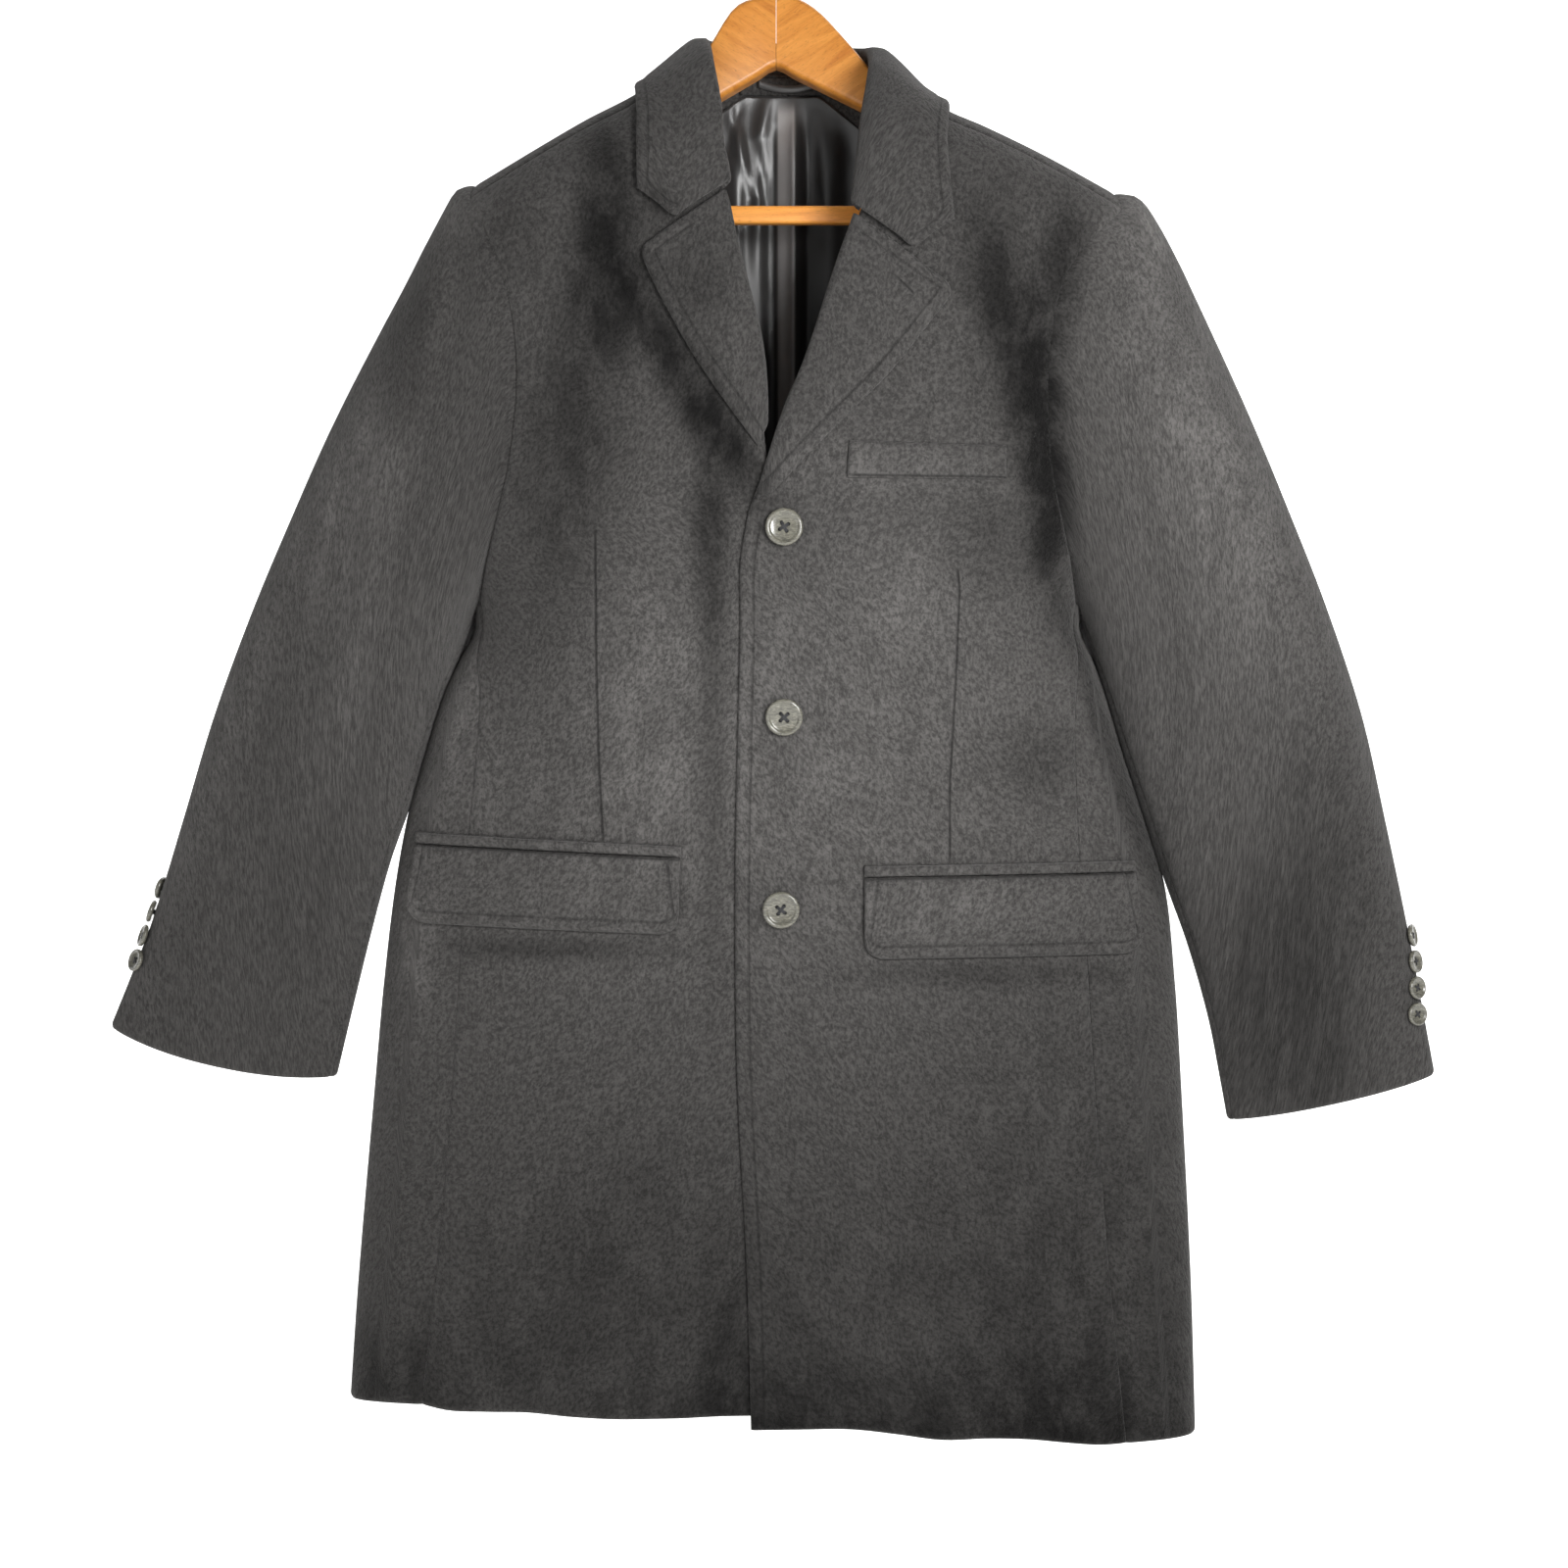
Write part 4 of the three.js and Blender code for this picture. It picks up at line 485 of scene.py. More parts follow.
class Finish:
    # a material and the one method that adds its nodes
    def __init__(self, name):
        self.material = bpy.data.materials.new(name)
        self.material.use_nodes = True
        self.tree = self.material.node_tree
        self.surface = self.tree.nodes["Principled BSDF"]

    def node(self, kind, settings=None, values=None, out=0):
        made = self.tree.nodes.new(kind)
        for key, value in (settings or {}).items():
            if key == "stops":
                while len(made.color_ramp.elements) < len(value):
                    made.color_ramp.elements.new(0.5)
                for element, (place, colour) in zip(made.color_ramp.elements, value):
                    element.position = place
                    element.color = (*colour, 1)
            else:
                setattr(made, key, value)
        pairs = values.items() if isinstance(values, dict) else enumerate(values or [])
        for key, value in pairs:
            self.feed(made.inputs[key], value)
        return Wave(self, made.outputs[out])

    def feed(self, socket, value):
        if isinstance(value, Wave):
            self.tree.links.new(value.socket, socket)
        elif socket.type == "RGBA" and len(value) == 3:
            socket.default_value = (*value, 1)
        else:
            socket.default_value = value

    def set(self, **values):
        for key, value in values.items():
            self.feed(self.surface.inputs[key.replace("_", " ")], value)

    def tint(self, colour, strength):
        # a colour made lighter or darker over the surface
        settings = {"operation": "SCALE"}
        return self.node("ShaderNodeVectorMath", settings, {"Vector": colour, "Scale": strength})

    def mapped(self, source, scale, turn=0, place=(0, 0, 0)):
        values = {"Vector": source, "Location": place, "Rotation": (0, 0, turn), "Scale": scale}
        return self.node("ShaderNodeMapping", None, values)

    def noise(self, vector, scale, detail=2, rough=0.5, distort=0):
        values = {
            "Vector": vector, "Scale": scale, "Detail": detail,
            "Roughness": rough, "Distortion": distort,
        }
        return self.node("ShaderNodeTexNoise", None, values)

    def smooth(self, value, low, high, start=0.0, end=1.0):
        settings = {"interpolation_type": "SMOOTHSTEP"}
        values = {"Value": value, 1: low, 2: high, 3: start, 4: end}
        return self.node("ShaderNodeMapRange", settings, values)

    def bump(self, height, strength, distance):
        values = {"Height": height, "Strength": strength, "Distance": distance}
        self.set(Normal=self.node("ShaderNodeBump", None, values))


wool = {
    "colour": (0.0455, 0.0435, 0.042),
    "fleckScale": 420,
    "fibreScale": 900,
    "tuftScale": 170,
    "cloudScale": 9,
    "stitchDepth": 0.8,
    # turned is the base of the painted shade and painted light, partly nap, that lay brings: the
    # colour is scaled by turned to the power of lay, and darkest and palest bound lay
    "turned": 2.1,
    "darkest": -2.6,
    "palest": 1.4,
}


def woolFinish():
    finish = Finish("woolNap")
    grain = finish.node("ShaderNodeUVMap", {"uv_map": "cloth"})
    lay = finish.node("ShaderNodeAttribute", {"attribute_name": "lay"}, None, "Fac")
    sewn = finish.node("ShaderNodeAttribute", {"attribute_name": "sewn"}, None, "Vector")
    seamed = finish.node("ShaderNodeAttribute", {"attribute_name": "seamed"}, None, "Vector")
    drift = finish.noise(grain, 14, 2, 0.5)
    combed = finish.node("ShaderNodeVectorMath", {"operation": "ADD"}, [
        finish.mapped(grain, (1, 0.78, 1)), finish.tint(drift, 0.012)])
    fleck = finish.smooth(finish.noise(combed, wool["fleckScale"], 3, 0.68), 0.33, 0.67)
    fibre = finish.noise(combed, wool["fibreScale"], 2, 0.6)
    tuft = finish.noise(combed, wool["tuftScale"], 3, 0.6)
    cloud = finish.noise(grain, wool["cloudScale"], 3, 0.5)
    brushed = finish.noise(finish.mapped(grain, (1, 0.55, 1)), 42, 4, 0.62)
    # painted shade and painted light from the lay attribute, partly nap that lies the other way:
    # darker and paler patches with feathered edges
    feather = finish.smooth(brushed + tuft * 0.35 - 0.17, 0.36, 0.64)
    shade = 0.16 + fleck * 0.78 + fibre * 0.6 + tuft * 0.3 + cloud * 0.14
    shade = shade * wool["turned"] ** (lay * (0.6 + feather * 0.8))
    # stitch grooves and seam lines sink into the bump and also darken the colour: painted shade in
    # the stitch grooves, dark joints at the darts and the buttonhole, painted shadow lines along
    # the flaps and jets, and a dark line on the welt
    stitchGrooveAndShade = groove(finish, sewn, 0.9) * wool["stitchDepth"]
    seamGrooveAndShade = groove(finish, seamed, 0.8)
    shade = shade * (1 - stitchGrooveAndShade * 0.34) * (1 - seamGrooveAndShade * 0.55)
    lint = finish.node("ShaderNodeTexVoronoi", None, {"Vector": grain, "Scale": 170}, "Distance")
    speck = finish.smooth(lint, 0.03, 0.1, 0.9, 0) * finish.smooth(tuft, 0.5, 0.62)
    finish.set(Base_Color=finish.tint(wool["colour"], shade + speck * 0.6), Roughness=0.96)
    finish.set(Sheen_Weight=0.12, Sheen_Roughness=0.5, Sheen_Tint=(0.9, 0.88, 0.86))
    finish.set(Specular_IOR_Level=0.12)
    height = fleck * 0.5 + fibre * 0.4 + tuft * 0.9 + brushed * 0.5 - stitchGrooveAndShade * 1.5 - seamGrooveAndShade * 1.8
    finish.bump(height, 0.75, 0.0012)
    return finish.material


def groove(finish, attribute, width):
    # deepest on a sewn line: x is the distance from it in mm, z says where the line is
    parts = finish.tree.nodes.new("ShaderNodeSeparateXYZ")
    finish.feed(parts.inputs[0], attribute)
    away = Wave(finish, parts.outputs[0]).joined("ABSOLUTE")
    return finish.smooth(away, 0.1, width * 1.6, 1, 0) * Wave(finish, parts.outputs[2])


# making cloth
made = {}


def clothPiece(name, grid, outward, wall, finish, nodes, sewn=None, seamed=None,
               lay=None, held="hung"):
    # a sheet from a grid of points on its outer face, thickened inward, with its colour fields; a
    # strip too narrow for a sheet of its own has held=None
    rows, columns = grid.shape[:2]
    shape = bmesh.new()
    shape.loops.layers.uv.new("cloth")
    bmesh.ops.create_grid(
        shape, x_segments=columns - 1, y_segments=rows - 1, size=1, calc_uvs=True)
    mesh = bpy.data.meshes.new(name)
    shape.to_mesh(mesh)
    shape.free()
    flat = np.zeros(len(mesh.vertices) * 3)
    mesh.vertices.foreach_get("co", flat)
    flat = flat.reshape(-1, 3)
    column = np.rint((flat[:, 0] + 1) / 2 * (columns - 1)).astype(int)
    row = np.rint((1 - flat[:, 1]) / 2 * (rows - 1)).astype(int)
    mesh.vertices.foreach_set("co", (grid[row, column] * mm).ravel())
    weave = np.stack([run(grid, 1) + len(made) * 900, -run(grid, 0)], axis=-1) * mm
    corner = np.zeros(len(mesh.loops), int)
    mesh.loops.foreach_get("vertex_index", corner)
    mesh.uv_layers["cloth"].data.foreach_set("uv", weave[row, column][corner].ravel())
    still = np.zeros((rows, columns))
    # lay holds painted shade and painted light, partly nap, that scale the cloth's colour; by
    # default it comes from the marks table
    addField(mesh, "lay", napAndPaintedShade(grid) if lay is None else lay, row, column)
    none = np.stack([still + 50, still, still], axis=-1)
    addField(mesh, "sewn", none if sewn is None else sewn, row, column)
    addField(mesh, "seamed", none if seamed is None else seamed, row, column)
    mesh.polygons.foreach_set("use_smooth", [True] * len(mesh.polygons))
    mesh.update()
    middle = grid[rows // 2, columns // 2]
    face = min(mesh.polygons, key=lambda p: (p.center - Vector(middle * mm)).length)
    if face.normal.dot(Vector(outward)) < 0:
        mesh.flip_normals()
    piece = bpy.data.objects.new(name, mesh)
    bpy.context.scene.collection.objects.link(piece)
    solid = piece.modifiers.new("wall", "SOLIDIFY")
    solid.thickness = wall * mm
    solid.offset = -1
    if held:
        flatArea(grid)
    return dress(piece, finish, nodes)


def flatArea(grid):
    # the area of the cloth in square metres
    corner = grid[:-1, :-1]
    across, down, far = grid[:-1, 1:] - corner, grid[1:, :-1] - corner, grid[1:, 1:] - corner
    halves = np.linalg.norm(np.cross(across, far), axis=-1) + np.linalg.norm(
        np.cross(down, far), axis=-1)
    return float(halves.sum() / 2) * mm * mm


def addField(mesh, name, values, row, column):
    kind = "FLOAT" if values.ndim == 2 else "FLOAT_VECTOR"
    field = mesh.attributes.new(name, kind, "POINT")
    key = "value" if values.ndim == 2 else "vector"
    field.data.foreach_set(key, values[row, column].ravel())


def dress(piece, finish, nodes=()):
    piece.data.materials.clear()
    piece.data.materials.append(finish)
    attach(piece, "root")
    if nodes:
        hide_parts(*nodes)
    made[piece.name] = piece
    return piece


# painted shade and painted light on the wool, partly nap that lies the other way: darker fold
# troughs, shadows below the flaps, along the overlap and between sleeve and body, a darker hem, and
# paler lit areas
napAndShadeMarks = [  # face, x, z, half width, half height, lean in degrees, strength
    (-1, -46, -588, 213, 149, 0, 0.5), (-1, 18, -1073, 375, 175, 0, -0.9),
    (-1, 212, -879, 97, 181, 0, -0.4), (-1, 290, -394, 48, 149, -20, 0.6),
    (-1, -282, -407, 32, 84, 18, 0.6), (-1, -242, -323, 17, 52, 6, -0.55),
    (-1, -213, -550, 16, 58, 8, 0.4), (-1, -240, -692, 16, 71, 0, 0.6),
    (-1, -112, -230, 17, 74, 0, -1.7), (-1, -52, -350, 14, 74, -31, -2.3),
    (-1, -43, -436, 11, 48, 0, -1.2), (-1, -129, -362, 30, 84, 6, -0.75),
    (-1, 143, -275, 19, 55, -8, -1.3), (-1, 175, -369, 17, 97, -4, -2.2),
    (-1, 232, -595, 9, 136, -20.5, -1.4), (-1, 142, -446, 31, 32, 0, -0.5),
    (-1, 173, -585, 30, 28, 0, -0.5), (-1, -50, -265, 23, 36, 0, -0.5),
    (-1, 245, -236, 26, 32, 0, 0.6), (-1, -209, -223, 21, 23, 0, 0.5),
    (-1, 345, -744, 39, 91, -10, -1.0), (-1, -124, -905, 36, 71, 40, -0.3),
    (-1, 18, -1018, 71, 29, 0, -0.7), (-1, 193, -1022, 78, 32, 0, -0.7),
    (-1, -33, -976, 16, 78, 0, -0.6), (-1, 89, -478, 39, 36, 10, 0.3),
    (-1, 70, -394, 58, 17, 0, 0.3), (-1, -176, -246, 26, 26, 0, -0.4),
    (-1, -98, -537, 39, 91, 0, 0.15), (-1, -299, -640, 26, 97, 16, -0.2),
    (-1, -111, -278, 21, 39, 0, -1.0), (-1, -80, -223, 13, 13, 0, -0.7),
    (-1, -88, -278, 14, 26, -31, -0.6), (-1, -26, -388, 10, 19, -25, -0.9),
    (-1, -41, -537, 10, 175, 0, -0.6), (-1, -152, -472, 44, 129, 0, -0.4),
    (-1, 190, -255, 14, 39, 0, -1.3), (-1, 158, -330, 23, 48, 0, -0.9),
    (-1, 179, -404, 13, 58, -6, -1.1), (-1, 375, -640, 30, 84, -18, -0.4),
    (-1, -379, -595, 16, 162, 20, 0.4), (-1, 25, -1031, 78, 13, 0, -0.9),
    (-1, 186, -1038, 103, 13, 0, -0.7), (-1, -263, -999, 39, 29, 0, -0.8),
    (-1, -152, -710, 84, 8, 0, -0.6), (-1, 144, -727, 91, 8, 0, -0.6),
    (-1, 141, -682, 91, 22, 0, 0.25), (-1, -289, -563, 16, 78, 14, 0.3),
    (-1, 64, -980, 36, 32, 0, 0.4), (1, -150, -420, 40, 70, 10, -0.6),
    (1, 120, -360, 50, 60, -20, -0.5), (1, 40, -640, 60, 90, 0, 0.35),
    (1, -90, -820, 50, 120, 8, -0.35), (1, 190, -780, 40, 110, 0, 0.3),
    (1, -320, -560, 40, 110, 14, -0.35), (1, 330, -520, 40, 110, -20, 0.35),
    (1, 0, -260, 60, 50, 0, 0.3),
]


def napAndPaintedShade(grid):
    # sums the marks into the lay attribute: below zero is painted shade, above zero is painted
    # light
    x, z = grid[..., 0], grid[..., 2]
    face = np.where(grid[..., 1] < -8, -1, 1)
    lay = np.zeros(x.shape)
    for side, markX, markZ, wide, high, lean, strength in napAndShadeMarks:
        turn = math.radians(lean)
        offX, offZ = x - markX, z - markZ
        u = (offX * math.cos(turn) - offZ * math.sin(turn)) / wide
        v = (offX * math.sin(turn) + offZ * math.cos(turn)) / high
        lay += np.where(face == side, strength * np.exp(-(u * u + v * v) ** 1.2), 0)
    return np.clip(lay, wool["darkest"], wool["palest"])


far = 99  # a distance beyond every stitch line's reach


def lineField(grid, lines, reach=7):
    # signed distance in mm to the nearest of some sewn lines, place along it, and where it is
    x, z = grid[..., 0], grid[..., 2]
    best = np.full(x.shape, 1e6)
    field = np.stack([best, best * 0, best * 0], axis=-1)
    for line in lines:
        walked = 0
        for (ax, az), (bx, bz) in zip(line, line[1:]):
            length = math.hypot(bx - ax, bz - az)
            ux, uz = (bx - ax) / length, (bz - az) / length
            along = (x - ax) * ux + (z - az) * uz
            aside = (x - ax) * uz - (z - az) * ux
            beyond = np.maximum(0, np.maximum(-along, along - length))
            away = np.hypot(aside, beyond)
            mask = eased(reach, reach * 0.5, away) * eased(2.5, 0, beyond)
            new = np.stack([aside, walked + along, mask], axis=-1)
            closer = away < best
            field[closer] = new[closer]
            best = np.minimum(best, away)
            walked += length
    return field


def edgeDip(distance, depth, width):
    return -depth * np.clip(1 - distance / width, 0, 1) ** 2


def seamDip(*distances):
    return sum(edgeDip(d, panels["seamDip"], panels["seamWidth"]) for d in distances)


def rimDip(*distances):
    return sum(edgeDip(d, panels["edgeDip"], panels["edgeWidth"]) for d in distances)


def stitchRidge(distance, width):
    return np.exp(-((distance / width) ** 2))


woolCloth = woolFinish()


def edges(grid):
    # distance of every point from the four sides of a grid: left, right, top, bottom
    along, down = run(grid, 1), run(grid, 0)
    return along, along[:, -1:] - along, down, down[-1:] - down


# fronts, sides and backs
panels = {"step": 4.6, "seamDip": 1.2, "seamWidth": 4.5, "edgeDip": 1.6, "edgeWidth": 3.2}
stitching = {"front": 8.8, "start": -418, "ease": 14, "width": 2.2, "depth": 0.35}
darts = {  # x, z down each dart
    "right": [[(-117.9, -436), (-117.8, -519), (-116.4, -592), (-114.2, -636)]],
    "left": [[(118.6, -461), (119.9, -474), (117.7, -532), (114.3, -601), (114.6, -651)]],
}


def bigPanel(coarse, corner, step):
    # refined above and below the underarm apart, so that the corner there stays sharp
    wide = np.linalg.norm(np.diff(coarse, axis=1), axis=-1).sum(1).mean()
    columns = shares(wide, step)
    parts = [coarse[: corner + 1], coarse[corner:]] if corner else [coarse]
    fine = []
    for i, part in enumerate(parts):
        high = np.linalg.norm(np.diff(part, axis=0), axis=-1).sum(0).mean()
        rows = shares(high, step, i == 0, i == len(parts) - 1)
        grid = finer(finer(part, columns, 1), rows, 0)
        fine.append(grid[1:] if i else grid)
    return onBody(np.concatenate(fine))


for side in (rightSide, leftSide):
    name = side["name"]
    frontCoarse, corner = frontPanel(side)
    grid = bigPanel(frontCoarse, corner, panels["step"])
    free, seam, top, hem = edges(grid)
    dip = seamDip(seam, top) + rimDip(hem, free)
    below = eased(stitching["start"], stitching["start"] - stitching["ease"], grid[..., 2])
    ridge = stitchRidge(free - stitching["front"], stitching["width"])
    outer = laidOut(side, grid, dip - stitching["depth"] * ridge * below)
    sewn = np.stack([free - stitching["front"], grid[..., 2], below], axis=-1)
    seamed = lineField(outer, darts[name])
    clothPiece(f"frontCloth{name.title()}", outer, (0, -1, 0), body["wall"], woolCloth,
               [f"front_{name}"], sewn=sewn, seamed=seamed)

    backCoarse, corner = backPanel(side)
    grid = bigPanel(backCoarse, corner, panels["step"])
    centre, seam, top, hem = edges(grid)
    dip = seamDip(centre, seam, top) + rimDip(hem)
    clothPiece(f"backCloth{name.title()}", laidOut(side, grid, dip), (0, 1, 0), body["wall"],
               woolCloth, [f"back_{name}"])

    grid = bigPanel(sidePanel(side), 0, panels["step"])
    front, back, _, hem = edges(grid)
    dip = seamDip(front, back) + rimDip(hem)
    clothPiece(f"sideCloth{name.title()}", laidOut(side, grid, dip), (side["sign"], 0, 0),
               body["wall"], woolCloth, [f"side_{name}"])
    side["coarse"] = (frontCoarse, backCoarse)
print("body panels made")


# sleeves
rightSleeve = [  # outX, outZ, inX, inZ, bow, sag
    (-207, -203, -204.8, -494, 37, 0), (-218, -206, -207.4, -497.5, 33, 0),
    (-233, -234, -210.4, -505, 26, 0), (-267, -297, -215.6, -520, 16, 0),
    (-297, -356, -224.8, -542, 8, 0), (-324, -416, -235.2, -573, 3, 0),
    (-353.5, -485.5, -246.9, -613, 0, 0), (-379, -555, -261, -654, 0, 0),
    (-400, -624.5, -273, -699, 0, 1), (-421.5, -694, -283.5, -742, 0, 4),
    (-449.5, -765, -297, -799, 0, 9),
]
leftSleeve = [  # outX, outZ, inX, inZ, bow, sag
    (236, -213, 206.8, -494, 38, 0), (249, -213.5, 209.8, -499, 35, 0),
    (263.6, -237, 213.6, -510, 28, 0), (292.7, -297, 217.8, -525, 19, 0),
    (320, -356.4, 224, -545, 10, 0), (345, -416, 233.4, -576, 4, 0),
    (371.5, -483.5, 246.7, -617, 0, 0), (395.3, -555, 263.2, -667.6, 0, 0),
    (411, -624.5, 278.4, -710.6, 0, 0), (427, -700.7, 292.3, -760.3, 0, 1),
    (445, -797, 305, -828, 0, 3),
]
rightSleeveDepth = [  # outY, inY, front, back
    (-27, -6, 50, 48), (-27, -7, 51, 49), (-26, -8, 52, 50), (-24, -10, 51, 50), (-22, -12, 49, 49),
    (-20, -14, 46, 46), (-19, -16, 42, 42), (-19, -18, 37, 37), (-19, -19, 31, 31),
    (-19, -19, 25, 25), (-19, -19, 18, 18),
]
leftSleeveDepth = [  # outY, inY, front, back
    (-32, -6, 47, 46), (-31, -7, 48, 47), (-29, -8, 50, 48), (-26, -10, 51, 49), (-23, -12, 49, 49),
    (-21, -14, 46, 46), (-20, -16, 42, 42), (-19, -18, 37, 37), (-19, -19, 31, 31),
    (-19, -19, 25, 25), (-19, -19, 18, 18),
]
sleeves = {
    "roundness": 2.2, "settle": 3.2, "hindarm": -14, "forearm": 168, "step": 4.6,
    "steps": [0, 0.4, 0.9, 1.5, 2.2, 3, 4, 5, 6, 7, 8, 9, 9.6, 10],
    "headPuff": 0.8, "headDown": 14, "cuffDip": 1.5, "tuck": 3.6,
}
sleeveTables = {
    "right": [(i, *a, *b) for i, (a, b) in enumerate(zip(rightSleeve, rightSleeveDepth))],
    "left": [(i, *a, *b) for i, (a, b) in enumerate(zip(leftSleeve, leftSleeveDepth))],
}
sleeveCreases = {  # from, to, start angle, end angle, width, depth
    "right": [
        (0.02, 0.5, 28, 118, 13, 5), (0.3, 0.8, 60, 80, 20, -3), (0.05, 0.6, 300, 230, 20, 4),
        (0.02, 0.52, 46, 140, 11, -3.4), (0.1, 0.5, 8, 46, 15, -2), (0.45, 0.97, 118, 100, 16, 2.2),
        (0.55, 0.98, 40, 62, 16, 1.8), (0.3, 0.7, 330, 280, 18, -2.4), (0.5, 0.95, 250, 262, 20, 2),
    ],
    "left": [
        (0.02, 0.45, 40, 105, 18, 3.5), (0.3, 0.85, 70, 95, 22, -3), (0.05, 0.6, 300, 235, 20, 4),
        (0.02, 0.4, 62, 138, 12, -3), (0.12, 0.55, 14, 52, 16, -2), (0.5, 0.97, 120, 104, 16, 2),
        (0.4, 0.95, 36, 58, 18, 2.2), (0.3, 0.7, 330, 280, 18, -2.4), (0.5, 0.95, 250, 264, 20, 2),
    ],
}


def ringPoint(row, angle):
    outX, outZ, inX, inZ, bow, sag, outY, inY, front, back = row[1:]
    middle = np.array([(outX + inX) / 2, 0, (outZ + inZ) / 2])
    reach = np.array([(outX - inX) / 2, 0, (outZ - inZ) / 2])
    down = unit(np.array([reach[2], 0, -reach[0]]))
    down = down * (-1 if down[2] > 0 else 1)
    power = 2 / sleeves["roundness"]
    along = np.sign(np.cos(angle)) * np.abs(np.cos(angle)) ** power
    points = middle + reach * along[:, None]
    points = points + down * ((sag - bow) * np.sin(angle) ** 2)[:, None]
    depth = np.where(np.sin(angle) >= 0, -front, back) * np.abs(np.sin(angle)) ** power
    points[:, 1] = mixed(inY, outY, (1 + along) / 2) + depth
    return points


def ringAngle(row, points):
    outX, outZ, inX, inZ = row[1:5]
    outY, inY, front, back = row[7:]
    reach = np.array([(outX - inX) / 2, (outZ - inZ) / 2])
    off = points[:, [0, 2]] - np.array([(outX + inX) / 2, (outZ + inZ) / 2])
    along = np.clip(off @ reach / (reach @ reach), -1, 1)
    forward = mixed(inY, outY, (1 + along) / 2) - points[:, 1]
    through = forward / np.where(forward > 0, front, back)
    power = sleeves["roundness"] / 2
    rise = np.sign(through) * np.abs(through) ** power
    return np.degrees(np.arctan2(rise, np.sign(along) * np.abs(along) ** power)) % 360


def armholeRing(side, front, back, under):
    over = body["turns"].index(0)
    lastFront = len(side["frontArmhole"])
    lastBack = len(body["turns"]) + len(side["backArmhole"]) - 1
    return np.concatenate([
        back[1 : over + 1, -1][::-1], front[: lastFront + 1, -1], under[0, 1:-1],
        back[over + 1 : lastBack + 1, -1][::-1],
    ])


def creaseOn(folds, along, degrees):
    depth = np.zeros(np.broadcast(along, degrees).shape)
    for start, end, fromAngle, toAngle, width, deep in folds:
        t = np.clip((along - start) / (end - start), 0, 1)
        off = (degrees - mixed(fromAngle, toAngle, t)) / width
        depth = depth + deep * np.exp(-off * off) * np.sin(np.pi * t) ** 0.7
    return depth


def sleeveCoarse(side, ring):
    table = sleeveTables[side["name"]]
    degrees = ringAngle(table[0], ring)
    angle = np.radians(degrees)
    under = eased(100, 175, np.where(degrees <= 180, degrees, 360 - degrees))
    start = ring + unit(bodySlope(ring)) * (0.5 * under)[:, None]
    miss = start - ringPoint(table[0], angle)
    rows = []
    for step in sleeves["steps"]:
        settle = max(0, 1 - step / sleeves["settle"]) ** 2
        rows.append(ringPoint(read(table, step), angle) + miss * settle)
    return np.array(rows), degrees


def nearest(degrees, goal):
    return int(np.argmin(np.abs((degrees - goal + 540) % 360 - 180)))


def sleeveHalf(coarse, degrees, first, last):
    # the columns of a ring from one seam to the other, with one more on each side to steer
    count = coarse.shape[1]
    picked = [(first - 1 + c) % count for c in range((last - first) % count + 3)]
    turned = np.unwrap(degrees[picked], period=360) * mm
    angles = np.repeat(turned[None, :, None], len(coarse), axis=0)
    return np.concatenate([coarse[:, picked], angles], axis=-1)


for side in (rightSide, leftSide):
    name = side["name"]
    front, back = side["coarse"]
    ring = armholeRing(side, front, back, sidePanel(side))
    coarse, degrees = sleeveCoarse(side, ring)
    hindarm = nearest(degrees, sleeves["hindarm"])
    forearm = nearest(degrees, sleeves["forearm"])
    for part, first, last in (("top", hindarm, forearm), ("under", forearm, hindarm)):
        half = sleeveHalf(coarse, degrees, first, last)
        wide = np.linalg.norm(np.diff(half[..., :3], axis=1), axis=-1).sum(1).mean()
        high = np.linalg.norm(np.diff(half[..., :3], axis=0), axis=-1).sum(0).mean()
        columns, rows = shares(wide, sleeves["step"]), shares(high, sleeves["step"])
        fine = finer(finer(half, columns, 1, 1), rows, 0)
        grid, turns = fine[..., :3], fine[..., 3] / mm
        left, right, top, cuff = edges(grid)
        along = top / (top + cuff)
        swell = creaseOn(sleeveCreases[name], along, turns % 360) * eased(0, 40, top)
        crown = np.cos(np.radians(turns)) * 0.5 + 0.5
        swell += sleeves["headPuff"] * crown * stitchRidge(top - sleeves["headDown"], 12)
        slopes = np.cross(np.gradient(grid, axis=0), np.gradient(grid, axis=1))
        outward = np.array([0, -1.0, 0]) if part == "top" else np.array([0, 1.0, 0])
        normals = unit(slopes) * np.sign(dot(slopes, outward).sum())
        dip = seamDip(left, right, top) + edgeDip(cuff, sleeves["cuffDip"], panels["edgeWidth"])
        grid = grid + normals * (dip + swell)[..., None]
        # a first row goes under the panels, so that nothing shows through the armhole's seam
        tucked = grid[0] - unit(bodySlope(grid[0])) * sleeves["tuck"]
        tucked[:, 0] -= side["sign"] * sleeves["tuck"]
        grid = np.concatenate([tucked[None], grid])
        clothPiece(f"sleeve{part.title()}{name.title()}", grid, outward, body["wall"],
                   woolCloth, [f"sleeve_{part}_{name}"])
print("sleeves made")


# lapels
rightLapel = [  # rollX, rollZ, edgeX, edgeZ
    (-32.3, -212, -86.5, -250), (-29.5, -222, -86.5, -259), (-24.5, -246, -77.5, -279),
    (-18.5, -270, -67, -299), (-12.2, -294, -55.5, -319.5), (-7.2, -320, -40, -343),
    (-5, -346, -23.5, -366), (-4.8, -366, -11.5, -382),
]
leftLapel = [  # rollX, rollZ, edgeX, edgeZ
    (50.5, -228, 112.5, -275.5), (47, -238, 113.5, -284), (40.5, -256, 102, -299),
    (33, -279, 88, -317), (25.5, -303, 72, -336.5), (16.5, -329, 52.5, -356.5), (6, -354, 33, -376),
    (-2.4, -379, 13, -396.5), (-9, -401, -2, -412), (-13.6, -414, -11.5, -418),
]


